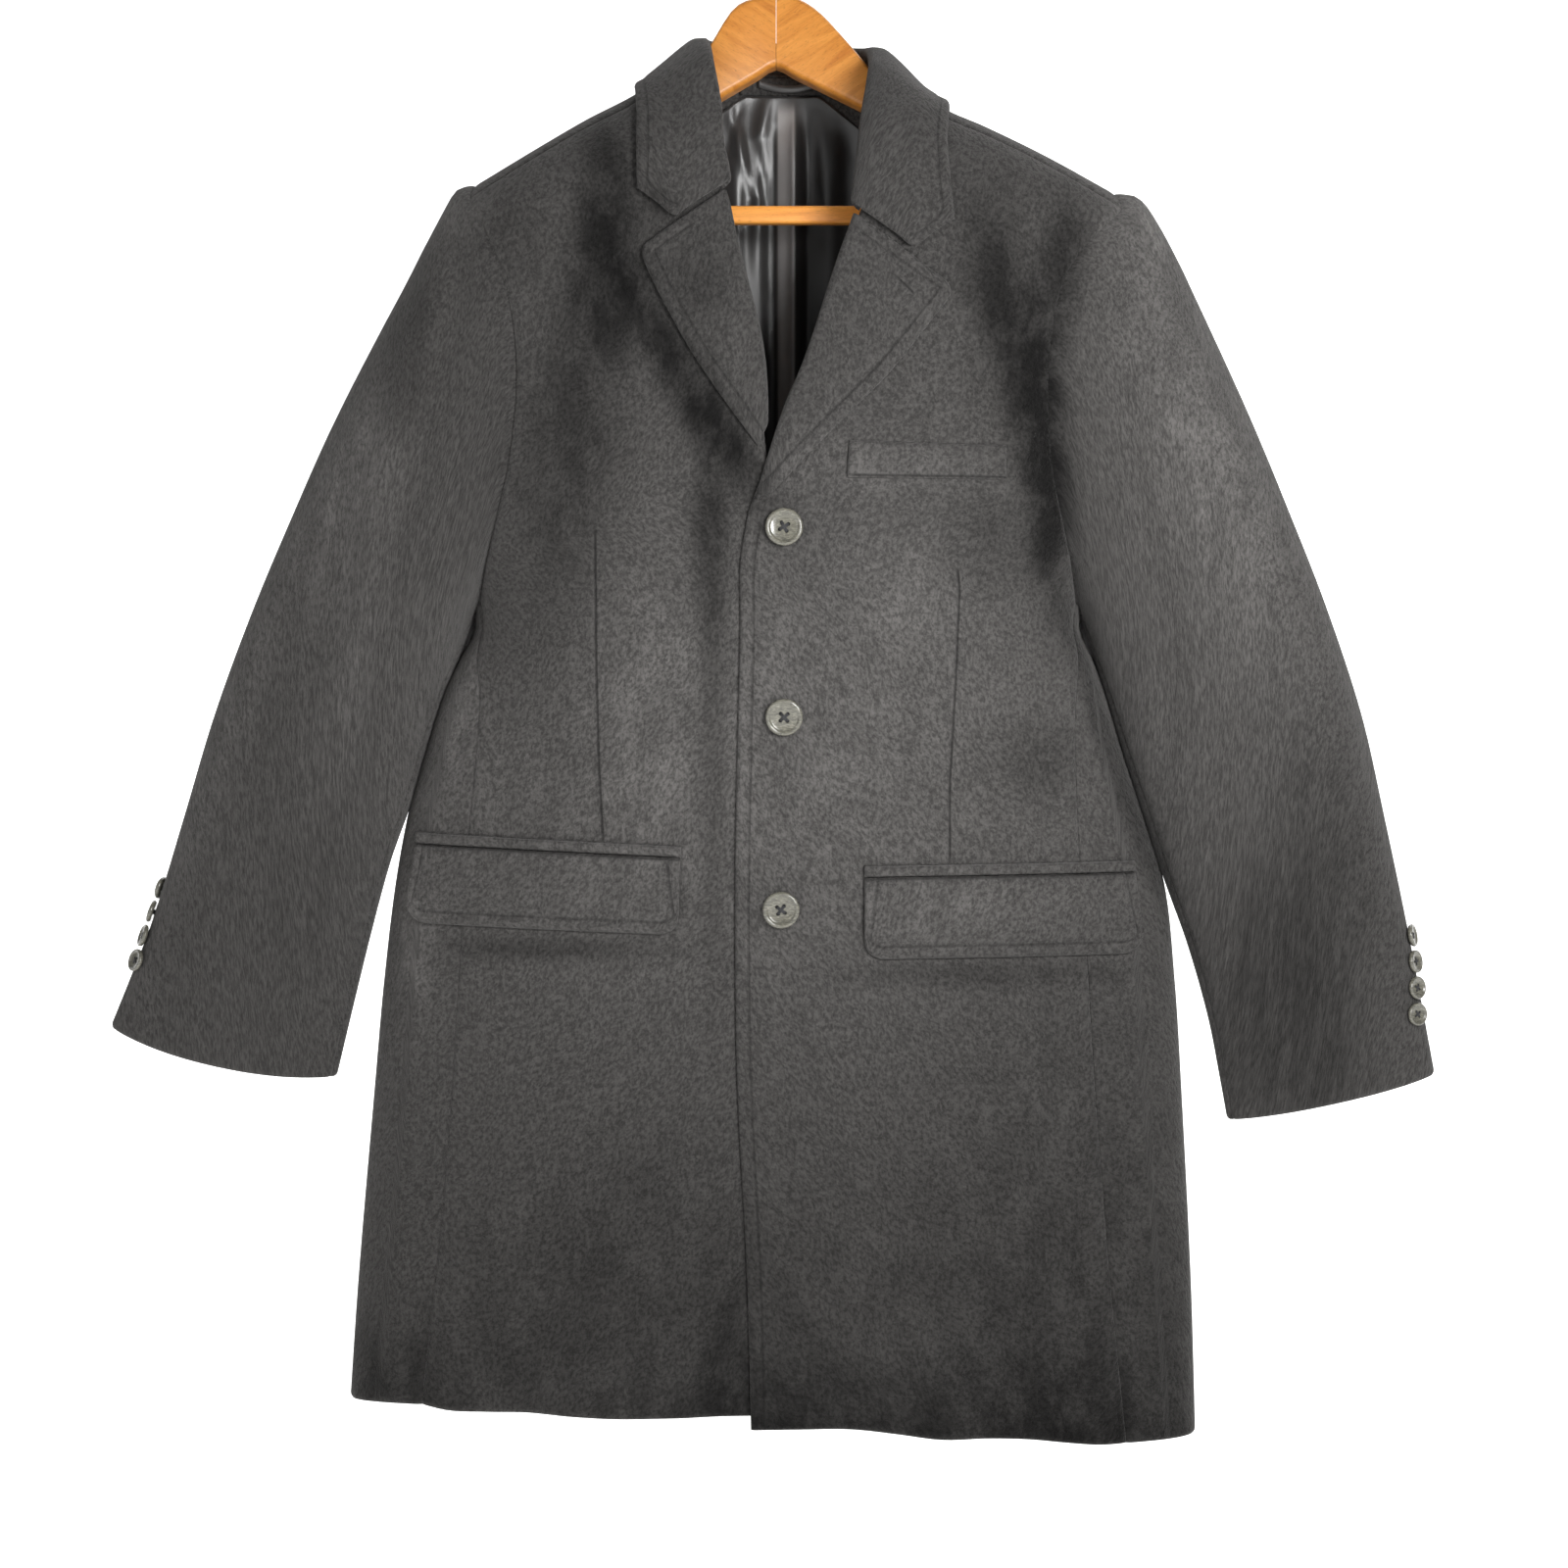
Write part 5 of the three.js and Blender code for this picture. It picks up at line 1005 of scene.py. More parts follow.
# collar: leaf, roll and stand in one sheet, from the leaf's edge over the roll to the neck seam
collar = {
    "across": [0, 0.1, 0.24, 0.42, 0.58, 0.8, 1],
    "notch": 0.58, "puff": 5, "fullDip": 20, "clearance": 5.8,
    "wall": 3.6, "roll": 4.4, "step": 3.6, "stitch": 7.5, "stand": (3, 17), "return": 12,
    "bend": [170, 140, 110, 80, 50, 22], "inside": np.array([8, 0, -100]), "high": 95,
    "acrossStep": 3.2, "leafReach": 34, "stitchReach": 60, "width": 2.2, "depth": 0.7,
}


def neckPoint(x, drop):
    if abs(drop) >= body["shoulderRound"]:
        return bodyPoint(x, shoulderHeight(x) - abs(drop), math.copysign(1, drop))
    return shoulderPoint(x, shoulderTurn(drop))


def collarLeaf():
    rolls, rims = np.array(collarRoll, float), np.array(collarEdge, float)
    t = np.array(collar["across"])
    peak = np.where(t < collar["notch"], t / collar["notch"], (1 - t) / (1 - collar["notch"]))
    leaf = mixed(rolls[:, None, :3], rims[:, None, :3], t[None, :, None])
    leaf[..., 2] -= rims[:, 3:] * peak
    flat = 1 - np.minimum(1, rims[:, 3:] / collar["fullDip"])
    lift = collar["puff"] * np.sin(np.pi * np.sqrt(t)) * flat
    leaf += unit(bodySlope(leaf)) * lift[..., None]
    return onBody(leaf, collar["clearance"], False)


leaf = collarLeaf()
first, last = collar["stand"]
turned = []
for s, row in enumerate(leaf):
    # the roll's bend stands square to the leaf at its start, and the stand goes down inside it
    down = unit(row[1] - row[0])
    ahead = unit(leaf[min(s + 1, len(leaf) - 1), 0] - leaf[max(s - 1, 0), 0])
    inward = unit(np.cross(ahead, down))
    inward = inward * (1 if dot(inward, collar["inside"] - row[0]) > 0 else -1)
    middle = row[0] + inward * collar["roll"]
    bend = [middle - (inward * math.cos(a) + down * math.sin(a)) * collar["roll"]
            for a in np.radians(collar["bend"])]
    foot = neckPoint(*collarRoll[s][3:])
    if not first <= s <= last:
        near = 1 - min(abs(s - first), abs(s - last)) / 4
        foot = middle + inward * collar["roll"] + down * collar["return"] * near
    start = bend[0]
    turned.append([foot, mixed(foot, start, 0.5), *bend, *row])
turned = np.array(turned)
long = np.linalg.norm(np.diff(turned, axis=0), axis=-1).sum(0).mean()
grid = finer(turned, shares(long, collar["step"]), 0)
grid = finer(grid, shares(collar["high"], collar["acrossStep"]), 1)
rim, startEnd, endEnd = edges(grid)[1:]
dip = edgeDip(rim, 1.5, 3) + edgeDip(startEnd, 1.2, 2.4) + edgeDip(endEnd, 1.2, 2.4)
slopes = np.cross(np.gradient(grid, axis=0), np.gradient(grid, axis=1))
slopes = unit(slopes) * np.sign(dot(slopes, np.array([0, 1, 0.6]))[len(grid) // 2, -8])
ends = np.minimum(startEnd, endEnd)
line = np.minimum(rim, np.where(rim < collar["leafReach"], ends, far)) - collar["stitch"]
leafPart = rim < collar["stitchReach"]
ridge = stitchRidge(line, collar["width"]) * leafPart
grid = grid + slopes * (dip - collar["depth"] * ridge)[..., None]
sewn = np.stack([line, startEnd, leafPart * 1.0], axis=-1)
clothPiece("collarCloth", grid, slopes[len(grid) // 2, grid.shape[1] // 2], collar["wall"],
           woolCloth, ["collar_leaf", "collar_stand"], sewn=sewn, held="folded")
print("collar made")


# lapels: each turns over at the roll line, goes round the front's edge and back inside
lapels = {
    "top": 4.7, "wall": 3.8, "roll": 5.65, "return": 13, "puff": 1.8, "step": 4, "stitch": 8.8,
    "bend": [268, 240, 212, 184, 156, 128, 104], "full": 26, "width": 2.2, "depth": 0.7,
    "buttonhole": [(78.4, -271.7), (89.2, -282.1)],
}

for side, table in ((rightSide, rightLapel), (leftSide, leftLapel)):
    rows = np.array([(i, *row) for i, row in enumerate(table)], float)
    long = np.linalg.norm(np.diff(rows[:, 3:], axis=0), axis=-1).sum()
    places = shares(long, lapels["step"])
    lines = read(rows, places * (len(rows) - 1))
    roll, rim = lines[:, 1:3], lines[:, 3:5]
    wide = np.linalg.norm(rim - roll, axis=-1)
    toward = unit(rim - roll)
    size = np.clip(wide / lapels["full"], 0.12, 1)[:, None]
    radius = lapels["roll"] * size
    angles = np.radians(lapels["bend"])[None, :]
    bendS = radius * (1 + np.cos(angles))
    bendH = lapels["top"] * size + radius * (np.sin(angles) - 1)
    backS = radius + np.linspace(1, 0.12, 5)[None, :] * lapels["return"] * size
    backH = np.repeat(lapels["top"] * size - 2 * radius, 5, axis=1)
    outward = shares(wide.max(), lapels["step"], False)[None, :]
    leafS = mixed(radius, wide[:, None], outward)
    swell = np.sin(np.pi * outward**0.8) * lapels["puff"] * size
    leafH = np.repeat(lapels["top"] * size, outward.size, axis=1) + swell
    s = np.concatenate([backS, bendS, leafS], axis=1)
    h = np.concatenate([backH, bendH, leafH], axis=1)
    x = roll[:, :1] + toward[:, :1] * s
    z = roll[:, 1:] + toward[:, 1:] * s
    base = bodyPoint(x, z, -1)
    free, top = wide[:, None] - s, run(base, 0)
    leafPart = (s > radius) & (h > 0)
    dip = np.where(leafPart, edgeDip(free, 1.7, 3.2) + edgeDip(top, 1.4, 2.6), 0)
    topReach = 102 if side["sign"] > 0 else 42
    line = np.where(leafPart, free, far) - lapels["stitch"]
    alongTop = np.where(leafPart & (free < topReach), top, far) - lapels["stitch"]
    line = np.minimum(alongTop, line)
    ridge = stitchRidge(line, lapels["width"]) * leafPart
    grid = laidOut(side, base, h + dip - lapels["depth"] * ridge, 0.5)
    sewn = np.stack([line, top, leafPart * 1.0], axis=-1)
    hole = lineField(grid, [lapels["buttonhole"]]) if side["sign"] > 0 else None
    clothPiece(f"lapelCloth{side['name'].title()}", grid, (0, -1, 0), lapels["wall"], woolCloth,
               [f"lapel_{side['name']}"], sewn=sewn, seamed=hole, held="folded")
print("lapels made")


# pockets: flaps under narrow jets, and the breast welt
pockets = {"lay": 0.7, "wall": 4, "jetWall": 2.5, "corner": 13, "jet": 8, "gap": 0.3, "step": 3.2,
           "stitch": 8.5, "width": 2.4, "depth": 0.9, "bulge": 1.7}
patches = {  # topX, topZ, bottomX, bottomZ
    "flapRight": ((-240.5, -62.5), (-641.5, -650), (-246.5, -63.5), (-694, -701)),
    "flapLeft": ((58, 239.5), (-663, -660.5), (58, 244.5), (-717, -714.5)),
    "welt": ((47.5, 150), (-378.5, -380.5), (46, 150), (-403, -402.5)),
}


def patchGrid(shape, corner, step):
    topX, topZ, bottomX, bottomZ = shape
    wide, high = topX[1] - topX[0], topZ[0] - bottomZ[0]
    t = shares(wide, step)
    down = shares(high, min(step, high / 4))[:, None]
    fromEnd = np.minimum(t, 1 - t) * wide
    short = np.maximum(0, corner - fromEnd)
    rise = corner - np.sqrt(corner**2 - short**2)
    x = mixed(mixed(*topX, t), mixed(*bottomX, t), down)
    z = mixed(mixed(*topZ, t), mixed(*bottomZ, t) + rise, down)
    return bodyPoint(x, z, -1)


for side in (rightSide, leftSide):
    name = side["name"].title()
    shape = patches[f"flap{name}"]
    base = patchGrid(shape, pockets["corner"], pockets["step"])
    start, end, top, bottom = edges(base)
    rim = np.minimum(np.minimum(start, end), bottom)
    across, down = start / (start + end), top / (top + bottom)
    bulge = pockets["bulge"] * arch(down**0.9) * arch(across, 0.5)
    line = rim - pockets["stitch"]
    ridge = stitchRidge(line, pockets["width"])
    out = pockets["lay"] + pockets["wall"] + bulge - pockets["depth"] * ridge
    out += edgeDip(rim, 2.2, 3.6) + edgeDip(top, 1.6, 3)
    grid = laidOut(side, base, out)
    sewn = np.stack([line, start + top, np.ones_like(line)], axis=-1)
    # painted shadow line: darkest 0.9 mm below the flap's top edge, fainter along its free edges
    shade = np.minimum(np.abs(top - 0.9), np.abs(rim - 0.2) + 0.5)
    seamed = np.stack([shade, start, np.ones_like(shade)], axis=-1)
    clothPiece(f"flapCloth{name}", grid, (0, -1, 0), pockets["wall"], woolCloth,
               [f"flap_{side['name']}"], sewn=sewn, seamed=seamed)
    # the jet, just above the flap
    raised = [z + pockets["jet"] + pockets["gap"] for z in shape[1]]
    lower = [z + pockets["gap"] for z in shape[1]]
    base = patchGrid((shape[0], raised, shape[0], lower), 0, 2.6)
    start, end, top, bottom = edges(base)
    rim = np.minimum(np.minimum(start, end), np.minimum(top, bottom))
    swell = 0.8 * arch(top / (top + bottom))
    out = pockets["lay"] + pockets["jetWall"] + swell + edgeDip(rim, 1.6, 2.2)
    # a faint painted shadow line along the jet's top edge
    seamed = np.stack([np.abs(top - 0.4) + 0.3, start, np.ones_like(top)], axis=-1)
    clothPiece(f"jetCloth{name}", laidOut(side, base, out), (0, -1, 0), pockets["jetWall"],
               woolCloth, [f"flap_jet_{side['name']}"], seamed=seamed, held="laid")

base = patchGrid(patches["welt"], 0, 2.8)
start, end, top, bottom = edges(base)
rim = np.minimum(np.minimum(start, end), np.minimum(top, bottom))
swell = 0.9 * arch(top / (top + bottom), 0.6)
out = 0.15 + pockets["jetWall"] + swell + edgeDip(rim, 1.9, 2.6)
seamed = np.stack([bottom - 1.6, start, eased(0, 6, start)], axis=-1)
clothPiece("weltCloth", laidOut(leftSide, base, out), (0, -1, 0), pockets["jetWall"], woolCloth,
           ["breast_welt"], seamed=seamed, held="laid")
print("pockets made")


# buttons: turned discs with a raised rim and four holes, sewn through with thread
buttons = {
    "front": {"size": 24.5, "thick": 4, "hole": 1.3, "ring": 3.2},
    "cuff": {"size": 15.5, "thick": 3.2, "hole": 0.9, "ring": 2.1},
    "places": [(5.4, -435), (5.4, -557.5), (3.4, -684)],
    "lay": 0.9, "pitch": 16.6, "turns": [14, 3, -9],
    "cuffs": {"right": (0.869, [-6, 1, 8, 15]), "left": (0.903, [10, 16.33, 22.67, 29])},
}


def hornFinish():
    finish = Finish("buttonHorn")
    place = finish.node("ShaderNodeTexCoord", None, None, "Object")
    streak = finish.noise(finish.mapped(place, (60, 60, 240), 0.6), 3, 4, 0.6, 1.4)
    tone = finish.node("ShaderNodeValToRGB", {"stops": [
        (0.3, (0.06, 0.058, 0.048)), (0.55, (0.13, 0.125, 0.1)), (0.78, (0.24, 0.23, 0.19)),
    ]}, [streak], "Color")
    wear = finish.noise(place, 1900, 3, 0.6)
    finish.set(Base_Color=tone, Roughness=finish.smooth(wear, 0.3, 0.7, 0.16, 0.3))
    finish.set(Coat_Weight=0.6, Coat_Roughness=0.06, IOR=1.54)
    finish.bump(wear + streak * 2, 0.05, 0.0002)
    return finish.material


def threadFinish():
    finish = Finish("threadDark")
    place = finish.node("ShaderNodeTexCoord", None, None, "Object")
    twist = finish.node("ShaderNodeTexWave", {"wave_type": "BANDS", "bands_direction": "DIAGONAL"},
                        {"Vector": place, "Scale": 900, "Distortion": 1.5}, "Fac")
    finish.set(Base_Color=finish.tint((0.03, 0.03, 0.032), twist * 0.7 + 0.6), Roughness=0.8)
    finish.bump(twist, 0.4, 0.0002)
    return finish.material


def turnedDisc(kind):
    radius, high = kind["size"] / 2, kind["thick"]
    profile = [
        (0, 0.1), (0.84, 0.02), (0.93, 0.14), (0.99, 0.42), (1, 0.58), (0.985, 0.76), (0.93, 0.95),
        (0.87, 1.0), (0.81, 0.96), (0.76, 0.82), (0.72, 0.7), (0.68, 0.66), (0.4, 0.61), (0, 0.58),
    ]
    shape = bmesh.new()
    points = [shape.verts.new((r * radius * mm, -h * high * mm, 0)) for r, h in profile]
    for a, b in zip(points, points[1:]):
        shape.edges.new((a, b))
    bmesh.ops.spin(
        shape, geom=shape.verts[:] + shape.edges[:], cent=(0, 0, 0), axis=(0, 1, 0),
        angle=math.tau, steps=48, use_merge=True, use_duplicate=False)
    bmesh.ops.remove_doubles(shape, verts=shape.verts[:], dist=1e-6)
    bmesh.ops.recalc_face_normals(shape, faces=shape.faces[:])
    return shape


def rod(shape, radius, start, end, segments=14):
    start, end = Vector(start), Vector(end)
    turn = (end - start).to_track_quat("Z", "Y").to_matrix().to_4x4()
    bmesh.ops.create_cone(
        shape, cap_ends=True, segments=segments, radius1=radius, radius2=radius,
        depth=(end - start).length, matrix=Matrix.Translation((start + end) / 2) @ turn)


def objectFrom(shape, name):
    mesh = bpy.data.meshes.new(name)
    shape.to_mesh(mesh)
    shape.free()
    mesh.polygons.foreach_set("use_smooth", [True] * len(mesh.polygons))
    piece = bpy.data.objects.new(name, mesh)
    bpy.context.scene.collection.objects.link(piece)
    return piece


def corners(kind):
    ring = kind["ring"] * mm
    return [(math.cos(a) * ring, math.sin(a) * ring) for a in np.radians([45, 135, 225, 315])]


def discMesh(kind, name):
    disc = objectFrom(turnedDisc(kind), name)
    drill = bmesh.new()
    for x, z in corners(kind):
        rod(drill, kind["hole"] * mm, (x, -0.02, z), (x, 0.02, z), 18)
    drill = objectFrom(drill, name + "Drill")
    cut = disc.modifiers.new("holes", "BOOLEAN")
    cut.object, cut.operation, cut.solver = drill, "DIFFERENCE", "EXACT"
    seen = disc.evaluated_get(bpy.context.evaluated_depsgraph_get())
    cutMesh = bpy.data.meshes.new_from_object(seen)
    bpy.data.objects.remove(disc)
    bpy.data.objects.remove(drill)
    return cutMesh


def threadMesh(kind):
    shape = bmesh.new()
    top, low = -0.66 * kind["thick"] * mm, -0.2 * kind["thick"] * mm
    thick = kind["hole"] * 0.42 * mm
    spots = corners(kind)
    for (ax, az), (bx, bz) in ((spots[0], spots[2]), (spots[1], spots[3])):
        sign = 1 if ax > 0 else -1
        for shift in (-0.6, 0.6):
            dx, dz = shift * thick, -shift * thick * sign
            a, b = (ax + dx, top, az + dz), (bx + dx, top, bz + dz)
            rod(shape, thick, a, b, 8)
            rod(shape, thick, (a[0], top, a[2]), (a[0], low, a[2]), 8)
            rod(shape, thick, (b[0], top, b[2]), (b[0], low, b[2]), 8)
    rod(shape, kind["ring"] * 0.8 * mm, (0, 0.0008, 0), (0, -0.1 * kind["thick"] * mm, 0), 16)
    mesh = bpy.data.meshes.new("threadMesh")
    shape.to_mesh(mesh)
    shape.free()
    return mesh


def placeButton(name, node, meshes, point, normal, turn):
    # the disc's axis along -Y is laid on the cloth's outward normal
    outward = Vector(normal)
    lay = Vector((0, -1, 0)).rotation_difference(outward).to_matrix().to_4x4()
    spin = Matrix.Rotation(math.radians(turn), 4, "Y")
    move = Matrix.Translation(Vector(point) * mm + outward * buttons["lay"] * mm) @ lay @ spin
    for part, mesh, finish in zip(("", "Thread"), meshes, (horn, thread)):
        placed = mesh.copy()
        placed.transform(move)
        placed.name = name + part
        piece = bpy.data.objects.new(name + part, placed)
        bpy.context.scene.collection.objects.link(piece)
        for polygon in placed.polygons:
            polygon.use_smooth = True
        dress(piece, finish, [] if part else [node])
        if not part:
            soften = piece.modifiers.new("soften", "EDGE_SPLIT")
            soften.split_angle = math.radians(40)


horn, thread = hornFinish(), threadFinish()
frontMeshes = [discMesh(buttons["front"], "frontDisc"), threadMesh(buttons["front"])]
cuffMeshes = [discMesh(buttons["cuff"], "cuffDisc"), threadMesh(buttons["cuff"])]
for i, (x, z) in enumerate(buttons["places"]):
    base = bodyPoint(x, z, -1)[None, :]
    point = laidOut(leftSide, base, 0)[0]
    placeButton(f"buttonFront{i + 1}", f"button_front_{i + 1}", frontMeshes, point,
                unit(bodySlope(base))[0], buttons["turns"][i])

for side in (rightSide, leftSide):
    name = side["name"]
    table = sleeveTables[name]
    share, angles = buttons["cuffs"][name]
    step = share * 10
    for i, degrees in enumerate(angles):
        angle = np.radians([degrees])
        point = ringPoint(read(table, step), angle)[0]
        along = ringPoint(read(table, step + 0.1), angle)[0] - point
        across = ringPoint(read(table, step), angle + 0.05)[0] - point
        normal = unit(np.cross(along, across))
        normal = normal * np.sign(normal[0] * side["sign"])
        placeButton(f"buttonCuff{name.title()}{i + 1}", f"button_cuff_{name}_{i + 1}",
                    cuffMeshes, point, normal, 30 * i + 8)
        step += 0.1 * buttons["pitch"] / np.linalg.norm(along)
print("buttons made")


# lining of the back with its pleat and folds, the facing at the neck and the hanging loop
lining = {
    "span": (-100, 118), "top": -120.5, "bottom": -445, "drop": 34, "gap": 1.2, "step": 2.1,
    "open": (-112, -170),
    "folds": [(-62, 9, 3), (-28, 7, 5), (-12, 5, 3), (14, 4, 8), (40, 9, 4), (72, 10, 3)],
    "facing": {"span": (-26, 44), "top": -108.5, "bottom": -120, "drop": 22, "wall": 1.5},
    "loop": {"span": (-14, 30), "height": 5.4, "wall": 1.2, "top": -109.5, "sag": 4},
}
# slack in the satin, as soft ridges along a line each
slack = [  # x, z, endX, endZ, width, depth
    (-34, -128, -16, -190, 3.4, 3.2), (-16, -190, -20, -300, 5, 2.6),
    (-26, -122, -34, -165, 4, -2.6), (-14, -150, -6, -205, 3, -2.8), (-6, -120, -10, -150, 4, 2.4), (2, -140, -4, -260, 4, -2.2),
    (-30, -210, -16, -330, 6, 2.4), (-42, -180, -34, -260, 5, -2), (6, -300, 9, -440, 4, 2.2),
    (22, -200, 34, -420, 9, 1.8), (46, -140, 40, -300, 8, -1.6), (-8, -330, -2, -444, 7, -2.4),
    (30, -130, 36, -210, 5, 1.4), (-60, -140, -52, -300, 6, 2.2), (64, -150, 58, -380, 8, 1.6),
    (-78, -200, -70, -400, 8, 2), (88, -180, 82, -400, 9, -1.8), (14, -255, 0, -262, 3, 0.8),
]


def innerBack(span, topZ, bottomZ, drop, step):
    wide, high = span[1] - span[0], topZ - bottomZ
    x = np.linspace(*span, int(wide / step) + 1)[None, :]
    down = np.linspace(0, 1, int(high / step) + 1)[:, None]
    top = np.minimum(topZ, shoulderHeight(x) - drop)
    return bodyPoint(x, mixed(top, bottomZ, down), 1)


def satinFinish():
    finish = Finish("liningSatin")
    grain = finish.node("ShaderNodeUVMap", {"uv_map": "cloth"})
    lay = finish.node("ShaderNodeAttribute", {"attribute_name": "lay"}, None, "Fac")
    threads = finish.node(
        "ShaderNodeTexWave", {"wave_type": "BANDS", "bands_direction": "DIAGONAL"},
        {"Vector": grain, "Scale": 900, "Distortion": 0.6, "Detail": 1}, "Fac")
    fill = finish.noise(finish.mapped(grain, (1, 12, 1)), 320, 3, 0.6)
    wash = finish.noise(grain, 16, 3, 0.5)
    # the lay attribute scales this colour: painted highlight and painted shade on the back lining
    tone = finish.tint((0.036, 0.0345, 0.034),
                       (0.55 + threads * 0.12 + fill * 0.2 + wash * 0.6) * wool["turned"] ** lay)
    finish.set(Base_Color=tone, Roughness=finish.smooth(wash + fill * 0.3, 0.3, 0.9, 0.26, 0.4))
    finish.set(Specular_IOR_Level=0.7, Anisotropic=0.35, Sheen_Weight=0.1)
    finish.bump(threads * 0.4 + fill, 0.12, 0.0004)
    return finish.material


satin = satinFinish()
base = innerBack(lining["span"], lining["top"], lining["bottom"], lining["drop"], lining["step"])
x, z = base[..., 0], base[..., 2]
opened = eased(*lining["open"], z)
depth = sum(deep * opened * np.exp(-(((x - at) / wide) ** 2)) for at, wide, deep in lining["folds"])
for ax, az, bx, bz, wide, deep in slack:
    lineX, lineZ = bx - ax, bz - az
    along = np.clip(((x - ax) * lineX + (z - az) * lineZ) / (lineX**2 + lineZ**2), 0, 1)
    away = np.hypot(x - ax - along * lineX, z - az - along * lineZ)
    depth = depth + deep * arch(along, 0.6) * np.exp(-((away / wide) ** 2))
# the pleat at the centre back: a flat strip whose right edge drops into a deep crease
strip = eased(-0.5, 1, x) * eased(14.5, 13, x)
crease = np.exp(-(((x - 15.4) / 1.3) ** 2)) * opened
depth = depth + 2.6 * strip * eased(-140, -160, z) - 4.2 * crease
depth = np.maximum(depth, -0.4)
grid = laidOut(rightSide, base, -body["wall"] - lining["gap"] - depth, 0)
# painted highlight on the pleat's flat strip below its top, and painted shade over the lining right
# of the pleat, carried to the satin through lay
paintedSheenAndShade = 3 * strip * eased(-118, -135, z) - 2.2 * eased(14, 22, x)
clothPiece("liningBack", grid, (0, -1, 0), 1, satin, ["lining_back"], lay=paintedSheenAndShade)

facing = lining["facing"]
inside = -body["wall"] - lining["gap"]
loop = lining["loop"]
t = np.linspace(0, 1, 33)[None, :]
down = np.linspace(0, 1, 8)[:, None]
sag = loop["sag"] * arch(t)
base = bodyPoint(mixed(*loop["span"], t), loop["top"] - sag - loop["height"] * down, 1)
swell = 0.5 * arch(down) + 2.4 * arch(t)
grid = laidOut(rightSide, base, inside - facing["wall"] - 2.2 - swell, 0)
loopStrip = clothPiece("loopStrip", grid, (0, -1, 0), loop["wall"], satin, ["hanging_loop"],
                       held=None)

base = innerBack(facing["span"], facing["top"], facing["bottom"], facing["drop"], 2.2)
bottom = edges(base)[3]
grid = laidOut(rightSide, base, inside - facing["wall"] - 0.6 - edgeDip(bottom, 1, 2), 0)
clothPiece("neckFacing", grid, (0, -1, 0), facing["wall"], woolCloth, ["neck_facing"],
           held="laid")
print("lining, facing and loop made")


# hanger: two arms mitred in the middle, a trouser bar and the steel hook
hanger = {
    "thick": 18, "round": 4.5, "step": 5, "strip": 4,
    "bar": {"high": 12, "deep": 10, "y": -18, "top": -210.9},
    "wire": 3.8, "inner": 18, "from": 200, "to": -55, "neck": (2.2, 3, 10),
}
armSections = [  # x, top, bottom
    (-194, -206, -224), (-185, -200.3, -227), (-150, -178.5, -205.5), (-95, -145, -171),
    (-78, -133, -160.5), (-62, -123.5, -150.5), (-54, -113, -145.5), (-46, -101.5, -140.7),
    (-29, -74, -130), (-13, -65.5, -120), (0, -63.5, -112.2), (13, -65.5, -119), (28, -75, -127),
    (46.6, -95.5, -137), (64.7, -117.5, -146.5), (78, -133, -153.5), (95, -142, -162.6),
    (150, -175, -193.7), (185, -194.5, -216), (194, -201, -213),
]


def woodFinish(name, turn, place, pale=1.0):
    finish = Finish(name)
    here = finish.node("ShaderNodeTexCoord", None, None, "Object")
    along = finish.node("ShaderNodeMapping", None, {
        "Vector": here, "Location": place, "Rotation": (0, turn, 0), "Scale": (1, 1, 1)})
    long = finish.mapped(along, (3.2, 30, 34))
    sway = finish.noise(along, 9, 2, 0.5)
    rings = finish.noise(long, 3.2, 5, 0.62, 0.7)
    fibre = finish.noise(finish.mapped(along, (22, 420, 420)), 3, 3, 0.6)
    fleck = finish.noise(finish.mapped(along, (190, 900, 900)), 1.5, 2, 0.5)
    tone = finish.node("ShaderNodeValToRGB", {"stops": [
        (0.28, (0.4, 0.12, 0.014)), (0.46, (0.55, 0.205, 0.03)), (0.6, (0.66, 0.27, 0.048)),
        (0.76, (0.56, 0.212, 0.034)),
    ]}, [rings * 0.8 + sway * 0.2], "Color")
    dark = finish.smooth(fleck, 0.58, 0.7, 1, 0.76)
    shade = dark * (fibre * 0.3 + 0.86) * pale
    finish.set(Base_Color=finish.tint(tone, shade), Specular_IOR_Level=0.45)
    finish.set(Roughness=finish.smooth(fibre, 0.3, 0.7, 0.38, 0.52))
    finish.set(Coat_Weight=0.25, Coat_Roughness=0.3)
    finish.bump(fibre - finish.smooth(fleck, 0.58, 0.7), 0.12, 0.0003)
    return finish.material


def steelFinish():
    finish = Finish("hookSteel")
    here = finish.node("ShaderNodeTexCoord", None, None, "Object")
    drawn = finish.noise(finish.mapped(here, (1500, 1500, 260)), 1, 3, 0.6)
    finish.set(Base_Color=finish.tint((0.6, 0.61, 0.63), drawn * 0.2 + 0.9), Metallic=1.0)
    finish.set(Roughness=finish.smooth(drawn, 0.2, 0.8, 0.16, 0.34))
    finish.bump(drawn, 0.06, 0.0002)
    return finish.material


def armMiddle(x):
    height = shoulderHeight(x)
    return middleY(x, height) - body["middle"] + body["middle"] * eased(0, 60, np.abs(x))


